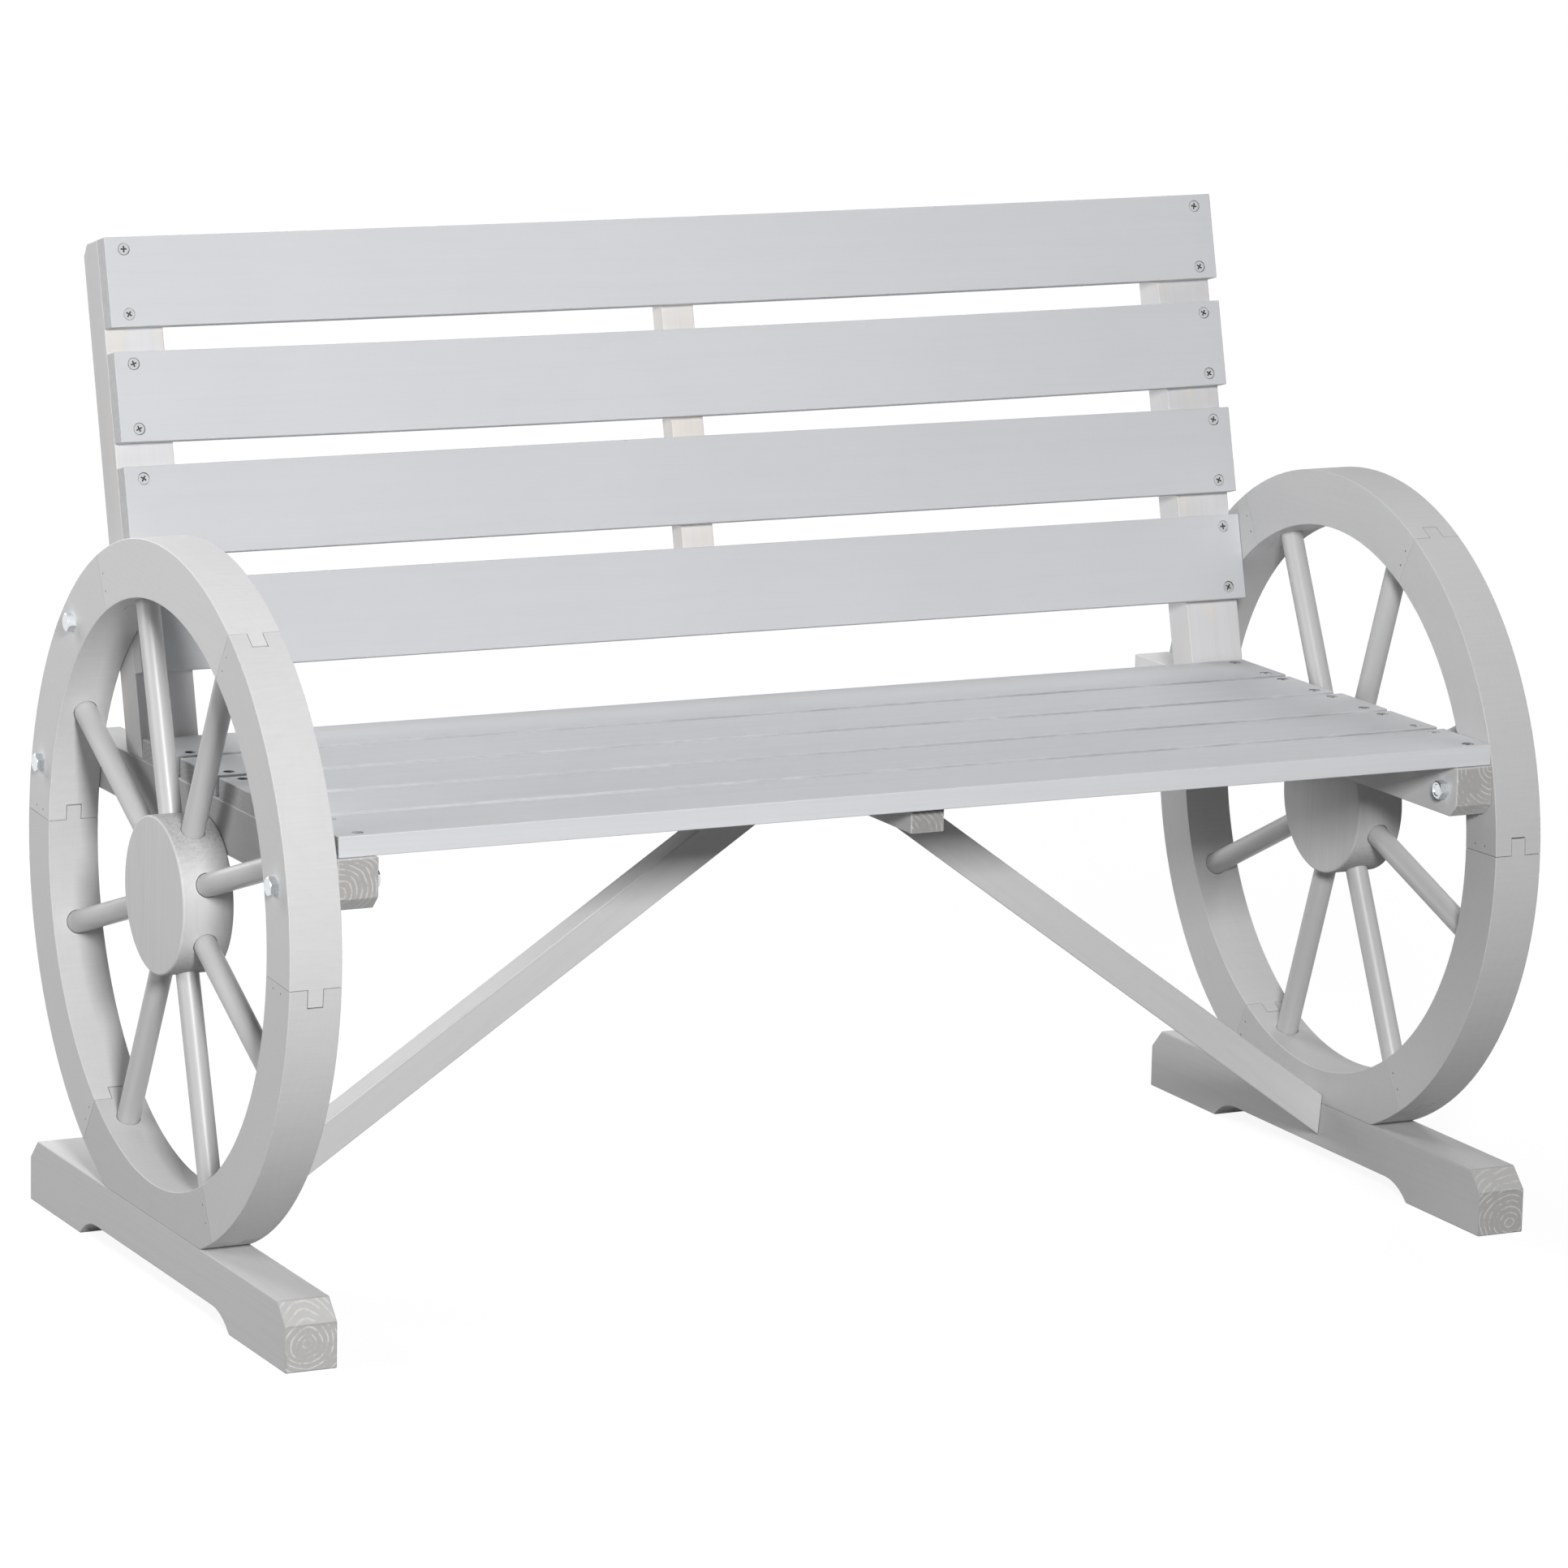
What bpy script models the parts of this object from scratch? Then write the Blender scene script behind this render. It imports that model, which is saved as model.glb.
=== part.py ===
"""Wagon wheel bench: a slatted garden bench carried by two wooden wagon wheels.

Each wheel is six jointed felloes, eight dowel spokes and a hub. It stands with a planed flat on a
long foot. Bearers and raked uprights are bolted to the rims, slats lie across them, and two braces
run from the feet to the middle of the seat. Metres, +Z up, the front of the seat towards -Y.
"""
import math

import bmesh
import bpy
from mathutils import Matrix, Vector

# Whole bench
BENCH_WIDTH = 1.061
SEAT_HEIGHT = 0.396
FIT_GAP = 0.0003

# Wheels
WHEEL_RADIUS = 0.270
RIM_DEPTH = 0.045
RIM_THICKNESS = 0.041
RIM_FLAT = 0.0185
FELLOE_COUNT = 6
FELLOE_STEPS = 10
TONGUE_LENGTH = 0.0135
TONGUE_WIDTH = 0.0135
HUB_RADIUS = 0.061
HUB_EDGE = 0.002
HUB_SIDES = 40
SPOKE_COUNT = 8
SPOKE_RADIUS = 0.009
SPOKE_SIDES = 12
SPOKE_INTO_RIM = 0.015
SPOKE_INTO_HUB = 0.020
FIRST_SPOKE = math.radians(24.3)
LEFT_WHEEL_ROLL = math.radians(3.3)
RIGHT_WHEEL_ROLL = math.radians(1.2)

# Feet
FOOT_LENGTH = 0.533
FOOT_HEIGHT = 0.051
FOOT_CHAMFER = 0.016
PAD_LENGTH = 0.111
RELIEF_DEPTH = 0.014
RELIEF_RUN = 0.034
RELIEF_STEPS = 5

# Seat
SEAT_SLATS = 5
SEAT_SLAT_WIDTH = 0.071
SEAT_SLAT_THICKNESS = 0.016
SEAT_SLAT_GAP = 0.008
SEAT_SETBACK = 0.003
BEARER_WIDTH = 0.032
BEARER_HEIGHT = 0.040
BEARER_CHAMFER = 0.010
BEARER_PAST_BOLT = 0.019
CENTRE_BEARER_WIDTH = 0.028
CENTRE_BEARER_HEIGHT = 0.020
CENTRE_BEARER_SETBACK = 0.014

# Back
BACK_RAKE = math.radians(14.3)
BACK_SLATS = 4
BACK_SLAT_WIDTH = 0.070
BACK_SLAT_THICKNESS = 0.015
BACK_SLAT_GAP = 0.019
BACK_SLAT_START = 0.066
UPRIGHT_WIDTH = 0.048
UPRIGHT_DEPTH = 0.032
UPRIGHT_CHAMFER = 0.009
CENTRE_UPRIGHT_WIDTH = 0.028
CENTRE_UPRIGHT_DEPTH = 0.018
CENTRE_UPRIGHT_SETBACK = 0.008

# Braces, cut from square-edged stock
BRACE_WIDTH = 0.028
BRACE_THICKNESS = 0.019
BRACE_FOOT_HEIGHT = 0.042
BRACE_FOOT_Y = -0.0085
BRACE_HEAD_Y = -0.055

# Hardware
BOLT_RADIUS = 0.004
BOLT_HOLE_GAP = 0.0003
BOLT_HEAD_FLATS = 0.013
BOLT_HEAD_HEIGHT = 0.0053
BOLT_TIP_RECESS = 0.002
HEX_CHAMFER = 0.0007
NUT_HEIGHT = 0.0068
FOOT_SCREW_RADIUS = 0.003
FOOT_SCREW_FLATS = 0.010
FOOT_SCREW_HEAD = 0.004
FOOT_SCREW_INTO_RIM = 0.018
FOOT_SCREW_SPREAD = 0.045
SLAT_SCREW_SHANK = 0.0022
SLAT_SCREW_HEAD = 0.0042
SLAT_SCREW_SINK = 0.0025
SLAT_SCREW_END = 0.0155
SLAT_SCREW_SPREAD = 0.0505
RING_SIDES = 12
CUT_PAST = 0.002

# Heights and places that follow from the sizes above
RIM_INNER = WHEEL_RADIUS - RIM_DEPTH
RIM_MIDDLE = WHEEL_RADIUS - RIM_DEPTH / 2
FLAT_DROP = WHEEL_RADIUS - RIM_FLAT
WHEEL_HEIGHT = FOOT_HEIGHT + FIT_GAP + FLAT_DROP
WHEEL_X = (BENCH_WIDTH - RIM_THICKNESS) / 2
HUB_LENGTH = RIM_THICKNESS
FOOT_WIDTH = RIM_THICKNESS
INNER_HALF = BENCH_WIDTH / 2 - RIM_THICKNESS - FIT_GAP
BEARER_TOP = SEAT_HEIGHT - SEAT_SLAT_THICKNESS - FIT_GAP
BEARER_BOLT_Z = BEARER_TOP - BEARER_HEIGHT / 2
BEARER_BOLT_Y = math.sqrt(RIM_MIDDLE ** 2 - (BEARER_BOLT_Z - WHEEL_HEIGHT) ** 2)
BEARER_HALF = BEARER_BOLT_Y + BEARER_PAST_BOLT
SEAT_FRONT = SEAT_SETBACK - BEARER_HALF
SEAT_REAR = SEAT_FRONT + SEAT_SLATS * SEAT_SLAT_WIDTH + (SEAT_SLATS - 1) * SEAT_SLAT_GAP
BACK_TOP = BACK_SLAT_START + BACK_SLATS * BACK_SLAT_WIDTH + (BACK_SLATS - 1) * BACK_SLAT_GAP

# The back's own directions: up its slope, and square to it towards the rear
SLOPE = Vector((0, math.sin(BACK_RAKE), math.cos(BACK_RAKE)))
REARWARD = Vector((0, math.cos(BACK_RAKE), -math.sin(BACK_RAKE)))
BACK_FOOT = Vector((0, SEAT_REAR + FIT_GAP, BEARER_TOP + FIT_GAP))


def clear_scene():
    for old in list(bpy.data.objects):
        bpy.data.objects.remove(old, do_unlink=True)


def finish(name, colour, roughness, metallic):
    """A plain material with one colour."""
    material = bpy.data.materials.new(name)
    material.use_nodes = True
    shader = material.node_tree.nodes["Principled BSDF"]
    shader.inputs["Base Color"].default_value = (*colour, 1)
    shader.inputs["Roughness"].default_value = roughness
    shader.inputs["Metallic"].default_value = metallic
    return material


def empty(name, location, turn=0.0):
    """A carrier for the pieces of one wheel or of the seat and back."""
    carrier = bpy.data.objects.new(name, None)
    carrier.location = location
    carrier.rotation_euler = (0, 0, turn)
    bpy.context.scene.collection.objects.link(carrier)
    return carrier


def piece(name, bm, material, carrier):
    """Turn a bmesh into a named object on its carrier."""
    bmesh.ops.recalc_face_normals(bm, faces=bm.faces)
    mesh = bpy.data.meshes.new(name)
    bm.to_mesh(mesh)
    bm.free()
    mesh.materials.append(material)
    made = bpy.data.objects.new(name, mesh)
    made.parent = carrier
    bpy.context.scene.collection.objects.link(made)
    return made


def rounded(made):
    """Shade the round walls smooth and keep the edges sharp."""
    made.data.shade_smooth()
    made.data.set_sharp_from_angle(angle=math.radians(40))


def cut(made, cutter):
    """Take a cutter's shapes out of a piece."""
    tool = piece("cut_" + made.name, cutter, made.data.materials[0], made.parent)
    tool.hide_render = True
    tool.display_type = "WIRE"
    boolean = made.modifiers.new("holes", "BOOLEAN")
    boolean.operation = "DIFFERENCE"
    boolean.solver = "EXACT"
    boolean.object = tool


def prism(outline, left, right):
    """A solid from an outline of (y, z) points, run along X."""
    bm = bmesh.new()
    face = bm.faces.new([bm.verts.new((left, y, z)) for y, z in outline])
    grown = bmesh.ops.extrude_face_region(bm, geom=[face])["geom"]
    moved = [part for part in grown if isinstance(part, bmesh.types.BMVert)]
    bmesh.ops.translate(bm, verts=moved, vec=(right - left, 0, 0))
    return bm


def aimed(start, direction):
    """The placement that turns +Z into a direction and starts at a point."""
    turn = Vector(direction).to_track_quat("Z", "Y").to_matrix().to_4x4()
    return Matrix.Translation(start) @ turn


def rod(bm, start, end, radius, sides):
    """A round bar between two points."""
    run = Vector(end) - Vector(start)
    middle = (Vector(start) + Vector(end)) / 2
    bmesh.ops.create_cone(
        bm, cap_ends=True, segments=sides, radius1=radius, radius2=radius,
        depth=run.length, matrix=aimed(middle, run))


def turned(bm, start, direction, rings):
    """A closed body through rings of (distance, radius, hexagonal), round a direction."""
    made = bmesh.ops.create_circle(bm, cap_ends=True, segments=RING_SIDES, radius=1)["verts"]
    face = made[0].link_faces[0]
    step = math.tau / RING_SIDES
    for place, (distance, radius, hexagonal) in enumerate(rings):
        if place:
            grown = bmesh.ops.extrude_face_region(bm, geom=[face] + face.edges[:])["geom"]
            face = next(part for part in grown if isinstance(part, bmesh.types.BMFace))
            made += face.verts
        for vert in face.verts:
            angle = math.atan2(vert.co.y, vert.co.x)
            corner = hexagonal and round(angle / step) % 2 == 0
            reach = radius / math.cos(step) if corner else radius
            vert.co = (reach * math.cos(angle), reach * math.sin(angle), distance)
    bmesh.ops.transform(bm, matrix=aimed(start, direction), verts=made)


def around(radius, angle, x=0.0):
    """A point of the wheel: the angle runs from the rear over the top."""
    return Vector((x, radius * math.cos(angle), radius * math.sin(angle)))


def sweep(bm, faces, angle, steps):
    """Extrude faces round the wheel's axis and return those at the far end."""
    for _ in range(steps):
        edges = list(dict.fromkeys(edge for face in faces for edge in face.edges))
        grown = bmesh.ops.extrude_face_region(bm, geom=faces + edges)["geom"]
        faces = [part for part in grown if isinstance(part, bmesh.types.BMFace)]
        verts = list(dict.fromkeys(vert for face in faces for vert in face.verts))
        turn = Matrix.Rotation(angle / steps, 3, "X")
        bmesh.ops.rotate(bm, verts=verts, cent=(0, 0, 0), matrix=turn)
    return faces


def felloe(first, last):
    """One arc of the rim with a tongue at its far end and a matching slot at its near end."""
    tongue = TONGUE_LENGTH / RIM_MIDDLE
    slot = (TONGUE_LENGTH + FIT_GAP) / RIM_MIDDLE
    half, cheek, key = RIM_THICKNESS / 2, TONGUE_WIDTH / 2 + FIT_GAP, TONGUE_WIDTH / 2
    bm = bmesh.new()
    rows = []
    for radius in (RIM_INNER, WHEEL_RADIUS):
        levels = (-half, -cheek, -key, key, cheek, half)
        rows.append([bm.verts.new(around(radius, first + slot, x)) for x in levels])
    near = []
    for i in range(len(rows[0]) - 1):
        near.append(bm.faces.new((rows[0][i], rows[0][i + 1], rows[1][i + 1], rows[1][i])))
    far = sweep(bm, near, last - first - slot, FELLOE_STEPS)
    middle = min(far, key=lambda face: abs(face.calc_center_median().x))
    sweep(bm, [middle], tongue, 1)
    sweep(bm, [near[0], near[-1]], -slot, 1)
    return bm


def plane_off(bm, point, normal):
    """Cut away what lies past a plane and close the cut."""
    everything = bm.verts[:] + bm.edges[:] + bm.faces[:]
    bmesh.ops.bisect_plane(bm, geom=everything, plane_co=point, plane_no=normal, clear_outer=True)
    bmesh.ops.holes_fill(bm, edges=[edge for edge in bm.edges if edge.is_boundary])


def reaches(angle, first, last):
    """Whether a hole at an angle of the wheel can touch the felloe between two others."""
    margin = (TONGUE_LENGTH + SPOKE_RADIUS + CUT_PAST) / RIM_INNER
    return (angle - first + margin) % math.tau < last - first + 2 * margin


def hub(angles):
    """A disc with eased edges and a mortise for each spoke."""
    bm = bmesh.new()
    rod(bm, (-HUB_LENGTH / 2, 0, 0), (HUB_LENGTH / 2, 0, 0), HUB_RADIUS, HUB_SIDES)
    ends = [face for face in bm.faces if len(face.verts) > 4]
    edges = list(dict.fromkeys(edge for face in ends for edge in face.edges))
    bmesh.ops.bevel(bm, geom=edges, offset=HUB_EDGE, segments=1, profile=0.5, affect="EDGES")
    mortises = bmesh.new()
    for angle in angles:
        deep = around(HUB_RADIUS - SPOKE_INTO_HUB, angle)
        rod(mortises, deep, around(HUB_RADIUS + CUT_PAST, angle), SPOKE_RADIUS + FIT_GAP, SPOKE_SIDES)
    return bm, mortises


def rim_holes(first, last, spokes, bolts):
    """The mortises, bolt holes and screw holes of one felloe."""
    bm = bmesh.new()
    for angle in spokes:
        if reaches(angle, first, last):
            mouth, deep = around(RIM_INNER - CUT_PAST, angle), around(RIM_INNER + SPOKE_INTO_RIM, angle)
            rod(bm, mouth, deep, SPOKE_RADIUS + FIT_GAP, SPOKE_SIDES)
    across = RIM_THICKNESS / 2 + CUT_PAST
    for y, z in bolts:
        if reaches(math.atan2(z, y), first, last):
            rod(bm, (-across, y, z), (across, y, z), BOLT_RADIUS + BOLT_HOLE_GAP, RING_SIDES)
    for y in (-FOOT_SCREW_SPREAD, FOOT_SCREW_SPREAD):
        if reaches(math.atan2(-FLAT_DROP, y), first, last):
            mouth, deep = -FLAT_DROP - CUT_PAST, FOOT_SCREW_INTO_RIM + FIT_GAP - FLAT_DROP
            rod(bm, (0, y, mouth), (0, y, deep), FOOT_SCREW_RADIUS + BOLT_HOLE_GAP, RING_SIDES)
    return bm


def wheel(side, carrier, roll, bolts, paint):
    """Six felloes, eight spokes and a hub, round the carrier."""
    spokes = [roll + FIRST_SPOKE + math.tau * i / SPOKE_COUNT for i in range(SPOKE_COUNT)]
    shut = FIT_GAP / 2 / RIM_MIDDLE
    for i in range(FELLOE_COUNT):
        first = roll + math.tau * i / FELLOE_COUNT
        last = first + math.tau / FELLOE_COUNT
        bm = felloe(first + shut, last - shut)
        plane_off(bm, (0, 0, -FLAT_DROP), (0, 0, -1))
        made = piece(f"{side}_felloe_{i + 1}", bm, paint, carrier)
        cut(made, rim_holes(first, last, spokes, bolts))
        rounded(made)
    for i, angle in enumerate(spokes):
        bm = bmesh.new()
        inner = around(HUB_RADIUS - SPOKE_INTO_HUB + FIT_GAP, angle)
        rod(bm, inner, around(RIM_INNER + SPOKE_INTO_RIM - FIT_GAP, angle), SPOKE_RADIUS, SPOKE_SIDES)
        rounded(piece(f"{side}_spoke_{i + 1}", bm, paint, carrier))
    disc, mortises = hub(spokes)
    made = piece(f"{side}_hub", disc, paint, carrier)
    cut(made, mortises)
    rounded(made)


def foot(side, sign, carrier, paint):
    """A long foot, relieved underneath so that it stands on two pads."""
    half, shoulder = FOOT_LENGTH / 2, FOOT_HEIGHT - FOOT_CHAMFER
    relief = half - PAD_LENGTH - RELIEF_RUN
    radius = (RELIEF_RUN ** 2 + RELIEF_DEPTH ** 2) / (2 * RELIEF_DEPTH)
    opening = math.asin(RELIEF_RUN / radius)
    rear = [(half, 0), (half, shoulder), (half - FOOT_CHAMFER, FOOT_HEIGHT)]
    under = []
    for i in range(RELIEF_STEPS + 1):
        turn = opening * i / RELIEF_STEPS
        under.append((relief + radius * math.sin(turn), RELIEF_DEPTH - radius + radius * math.cos(turn)))
    right = under + rear
    outline = right + [(-y, z) for y, z in reversed(right)]
    middle = sign * WHEEL_X
    made = piece(
        f"{side}_foot", prism(outline, middle - FOOT_WIDTH / 2, middle + FOOT_WIDTH / 2), paint, carrier)
    holes = bmesh.new()
    for y in (-FOOT_SCREW_SPREAD, FOOT_SCREW_SPREAD):
        low, high = (middle, y, RELIEF_DEPTH - CUT_PAST), (middle, y, FOOT_HEIGHT + CUT_PAST)
        rod(holes, low, high, FOOT_SCREW_RADIUS + BOLT_HOLE_GAP, RING_SIDES)
    cut(made, holes)


def foot_screws(side, sign, carrier, metal):
    """Hexagon-headed screws that hold the wheel on its foot."""
    head = RELIEF_DEPTH - FIT_GAP - FOOT_SCREW_HEAD
    flat, shank = FOOT_SCREW_FLATS / 2, FOOT_SCREW_RADIUS
    tip = FOOT_HEIGHT + FIT_GAP + FOOT_SCREW_INTO_RIM - head
    rings = [
        (0, flat - HEX_CHAMFER, False), (HEX_CHAMFER, flat, True), (FOOT_SCREW_HEAD, flat, True),
        (FOOT_SCREW_HEAD, shank, False), (tip, shank, False)]
    for where, y in (("front", -FOOT_SCREW_SPREAD), ("rear", FOOT_SCREW_SPREAD)):
        bm = bmesh.new()
        turned(bm, (sign * WHEEL_X, y, head), (0, 0, 1), rings)
        rounded(piece(f"{side}_foot_screw_{where}", bm, metal, carrier))


def bolt(name, carrier, y, z, clamped, metal):
    """A hexagon bolt through the rim and the timber inside it, its tip sunk in the nut."""
    grip = RIM_THICKNESS + clamped + 3 * FIT_GAP
    flat, shank = BOLT_HEAD_FLATS / 2, BOLT_RADIUS
    nut = BOLT_HEAD_HEIGHT + grip
    end = nut + NUT_HEIGHT
    rings = [
        (0, flat - HEX_CHAMFER, False), (HEX_CHAMFER, flat, True), (BOLT_HEAD_HEIGHT, flat, True),
        (BOLT_HEAD_HEIGHT, shank, False), (nut, shank, False),
        (nut, flat, True), (end - HEX_CHAMFER, flat, True), (end, flat - HEX_CHAMFER, False),
        (end, shank, False), (end - BOLT_TIP_RECESS, shank, False)]
    bm = bmesh.new()
    outside = -RIM_THICKNESS / 2 - FIT_GAP - BOLT_HEAD_HEIGHT
    turned(bm, (outside, y, z), (1, 0, 0), rings)
    rounded(piece(name, bm, metal, carrier))


def cross_holes(sign, width, places):
    """Bolt holes through a timber that stands against the rim."""
    bm = bmesh.new()
    inner, outer = sign * (INNER_HALF - width - CUT_PAST), sign * (INNER_HALF + CUT_PAST)
    for y, z in places:
        rod(bm, (inner, y, z), (outer, y, z), BOLT_RADIUS + BOLT_HOLE_GAP, RING_SIDES)
    return bm


def bearer(side, sign, carrier, paint):
    """The timber under one end of the seat, bolted to the rim at its front and rear."""
    low = BEARER_TOP - BEARER_HEIGHT
    rear = [
        (BEARER_HALF - BEARER_CHAMFER, low), (BEARER_HALF, low + BEARER_CHAMFER), (BEARER_HALF, BEARER_TOP)]
    outline = rear + [(-y, z) for y, z in reversed(rear)]
    bm = prism(outline, sign * (INNER_HALF - BEARER_WIDTH), sign * INNER_HALF)
    made = piece(f"{side}_bearer", bm, paint, carrier)
    places = [(-BEARER_BOLT_Y, BEARER_BOLT_Z), (BEARER_BOLT_Y, BEARER_BOLT_Z)]
    cut(made, cross_holes(sign, BEARER_WIDTH, places))


def back_point(along, behind):
    """A (y, z) point of the back: up its slope from the seat, and behind the uprights' fronts."""
    point = BACK_FOOT + SLOPE * along + REARWARD * behind
    return point.y, point.z


def upright_bolt():
    """Where an end upright's centre line crosses the middle of the rim, as (y, z)."""
    start = BACK_FOOT + REARWARD * UPRIGHT_DEPTH / 2 - Vector((0, 0, WHEEL_HEIGHT))
    slide = start.dot(SLOPE)
    along = math.sqrt(slide ** 2 - start.length_squared + RIM_MIDDLE ** 2) - slide
    return back_point(along, UPRIGHT_DEPTH / 2)


def upright(side, sign, carrier, paint):
    """A raked post, cut level where it stands on the bearer."""
    toe = UPRIGHT_DEPTH * math.tan(BACK_RAKE)
    outline = [
        back_point(0, 0), back_point(BACK_TOP, 0),
        back_point(BACK_TOP, UPRIGHT_DEPTH - UPRIGHT_CHAMFER),
        back_point(BACK_TOP - UPRIGHT_CHAMFER, UPRIGHT_DEPTH), back_point(toe, UPRIGHT_DEPTH)]
    bm = prism(outline, sign * (INNER_HALF - UPRIGHT_WIDTH), sign * INNER_HALF)
    made = piece(f"{side}_upright", bm, paint, carrier)
    cut(made, cross_holes(sign, UPRIGHT_WIDTH, [upright_bolt()]))


def centre_timbers(carrier, paint):
    """The thin bearer and upright that stiffen the slats at mid span."""
    front, rear = SEAT_FRONT + CENTRE_BEARER_SETBACK, SEAT_REAR - CENTRE_BEARER_SETBACK
    low = BEARER_TOP - CENTRE_BEARER_HEIGHT
    outline = [(front, low), (rear, low), (rear, BEARER_TOP), (front, BEARER_TOP)]
    half = CENTRE_BEARER_WIDTH / 2
    piece("centre_bearer", prism(outline, -half, half), paint, carrier)
    low, high = BACK_SLAT_START + CENTRE_UPRIGHT_SETBACK, BACK_TOP - CENTRE_UPRIGHT_SETBACK
    outline = [
        back_point(low, 0), back_point(high, 0),
        back_point(high, CENTRE_UPRIGHT_DEPTH), back_point(low, CENTRE_UPRIGHT_DEPTH)]
    half = CENTRE_UPRIGHT_WIDTH / 2
    piece("centre_upright", prism(outline, -half, half), paint, carrier)


def screw_holes(middle, across, inward, thickness):
    """Countersunk holes at both ends of a slat, whose face has the given middle."""
    rings = [
        (-CUT_PAST, SLAT_SCREW_HEAD, False), (0, SLAT_SCREW_HEAD, False),
        (SLAT_SCREW_SINK, SLAT_SCREW_SHANK, False), (thickness + CUT_PAST, SLAT_SCREW_SHANK, False)]
    bm = bmesh.new()
    for x in (SLAT_SCREW_END - INNER_HALF, INNER_HALF - SLAT_SCREW_END):
        for offset in (-SLAT_SCREW_SPREAD / 2, SLAT_SCREW_SPREAD / 2):
            turned(bm, Vector((x, 0, 0)) + middle + across * offset, inward, rings)
    return bm


def seat_slats(carrier, paint):
    """Boards across the bearers, counted from the front."""
    low, up = SEAT_HEIGHT - SEAT_SLAT_THICKNESS, Vector((0, 0, 1))
    for i in range(SEAT_SLATS):
        front = SEAT_FRONT + i * (SEAT_SLAT_WIDTH + SEAT_SLAT_GAP)
        rear = front + SEAT_SLAT_WIDTH
        outline = [(front, low), (rear, low), (rear, SEAT_HEIGHT), (front, SEAT_HEIGHT)]
        made = piece(f"seat_slat_{i + 1}", prism(outline, -INNER_HALF, INNER_HALF), paint, carrier)
        middle = Vector((0, (front + rear) / 2, SEAT_HEIGHT))
        cut(made, screw_holes(middle, Vector((0, 1, 0)), -up, SEAT_SLAT_THICKNESS))


def back_slats(carrier, paint):
    """Boards across the uprights, counted from the bottom."""
    face = -FIT_GAP - BACK_SLAT_THICKNESS
    for i in range(BACK_SLATS):
        low = BACK_SLAT_START + i * (BACK_SLAT_WIDTH + BACK_SLAT_GAP)
        high = low + BACK_SLAT_WIDTH
        outline = [
            back_point(low, face), back_point(low, -FIT_GAP),
            back_point(high, -FIT_GAP), back_point(high, face)]
        made = piece(f"back_slat_{i + 1}", prism(outline, -INNER_HALF, INNER_HALF), paint, carrier)
        middle = Vector((0, *back_point((low + high) / 2, face)))
        cut(made, screw_holes(middle, SLOPE, REARWARD, BACK_SLAT_THICKNESS))


def brace(side, sign, carrier, paint):
    """A stick from the foot up to the corner of the centre bearer and the seat, cut to fit both."""
    foot_end = Vector((sign * INNER_HALF, BRACE_FOOT_Y, BRACE_FOOT_HEIGHT))
    head_end = Vector((sign * CENTRE_BEARER_WIDTH / 2, BRACE_HEAD_Y, BEARER_TOP))
    along = (head_end - foot_end).normalized()
    rearward = along.cross(Vector((1, 0, 0))).normalized()
    length = (head_end - foot_end).length + 2 * (BRACE_WIDTH + BRACE_THICKNESS)
    sides = (along.cross(rearward) * BRACE_WIDTH, rearward * BRACE_THICKNESS, along * length)
    stock = Matrix(sides).transposed().to_4x4()
    bm = bmesh.new()
    bmesh.ops.create_cube(bm, size=1, matrix=Matrix.Translation((foot_end + head_end) / 2) @ stock)
    plane_off(bm, foot_end, (sign, 0, 0))
    plane_off(bm, head_end + Vector((sign * FIT_GAP, 0, 0)), (-sign, 0, 0))
    plane_off(bm, head_end, (0, 0, 1))
    piece(f"{side}_brace", bm, paint, carrier)


def main():
    clear_scene()
    slat_paint = finish("slat_paint", (0.66, 0.67, 0.69), 0.55, 0.0)
    frame_paint = finish("frame_paint", (0.55, 0.55, 0.55), 0.6, 0.0)
    wheel_paint = finish("wheel_paint", (0.53, 0.53, 0.53), 0.6, 0.0)
    zinc = finish("zinc", (0.72, 0.74, 0.77), 0.3, 1.0)
    bench = empty("bench", (0, 0, 0))
    wheels = {
        "left": empty("left_wheel", (-WHEEL_X, 0, WHEEL_HEIGHT)),
        "right": empty("right_wheel", (WHEEL_X, 0, WHEEL_HEIGHT), math.pi),
    }
    rolls = {"left": LEFT_WHEEL_ROLL, "right": RIGHT_WHEEL_ROLL}
    back_y, back_z = upright_bolt()
    bolts = {
        "back": (back_y, back_z - WHEEL_HEIGHT, UPRIGHT_WIDTH),
        "rear": (BEARER_BOLT_Y, BEARER_BOLT_Z - WHEEL_HEIGHT, BEARER_WIDTH),
        "front": (-BEARER_BOLT_Y, BEARER_BOLT_Z - WHEEL_HEIGHT, BEARER_WIDTH),
    }
    # The right wheel faces the other way, so its own front and rear are swapped
    for side, sign in (("left", -1), ("right", 1)):
        places = {where: (-sign * y, z, clamped) for where, (y, z, clamped) in bolts.items()}
        wheel(side, wheels[side], rolls[side], [(y, z) for y, z, _ in places.values()], wheel_paint)
        for where, (y, z, clamped) in places.items():
            bolt(f"{side}_{where}_bolt", wheels[side], y, z, clamped, zinc)
        foot(side, sign, bench, frame_paint)
        foot_screws(side, sign, bench, zinc)
        bearer(side, sign, bench, frame_paint)
        upright(side, sign, bench, frame_paint)
        brace(side, sign, bench, frame_paint)
    centre_timbers(bench, frame_paint)
    seat_slats(bench, slat_paint)
    back_slats(bench, slat_paint)


main()
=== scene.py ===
"""Wagon wheel bench: eased slats and frame, jointed wheels and zinc fasteners, under a pale wash."""

import math
import random
from contextlib import contextmanager
from typing import NamedTuple

import bmesh
import bpy
from bpy.props import FloatProperty, FloatVectorProperty, IntProperty, PointerProperty
from mathutils import Matrix, Vector


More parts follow.
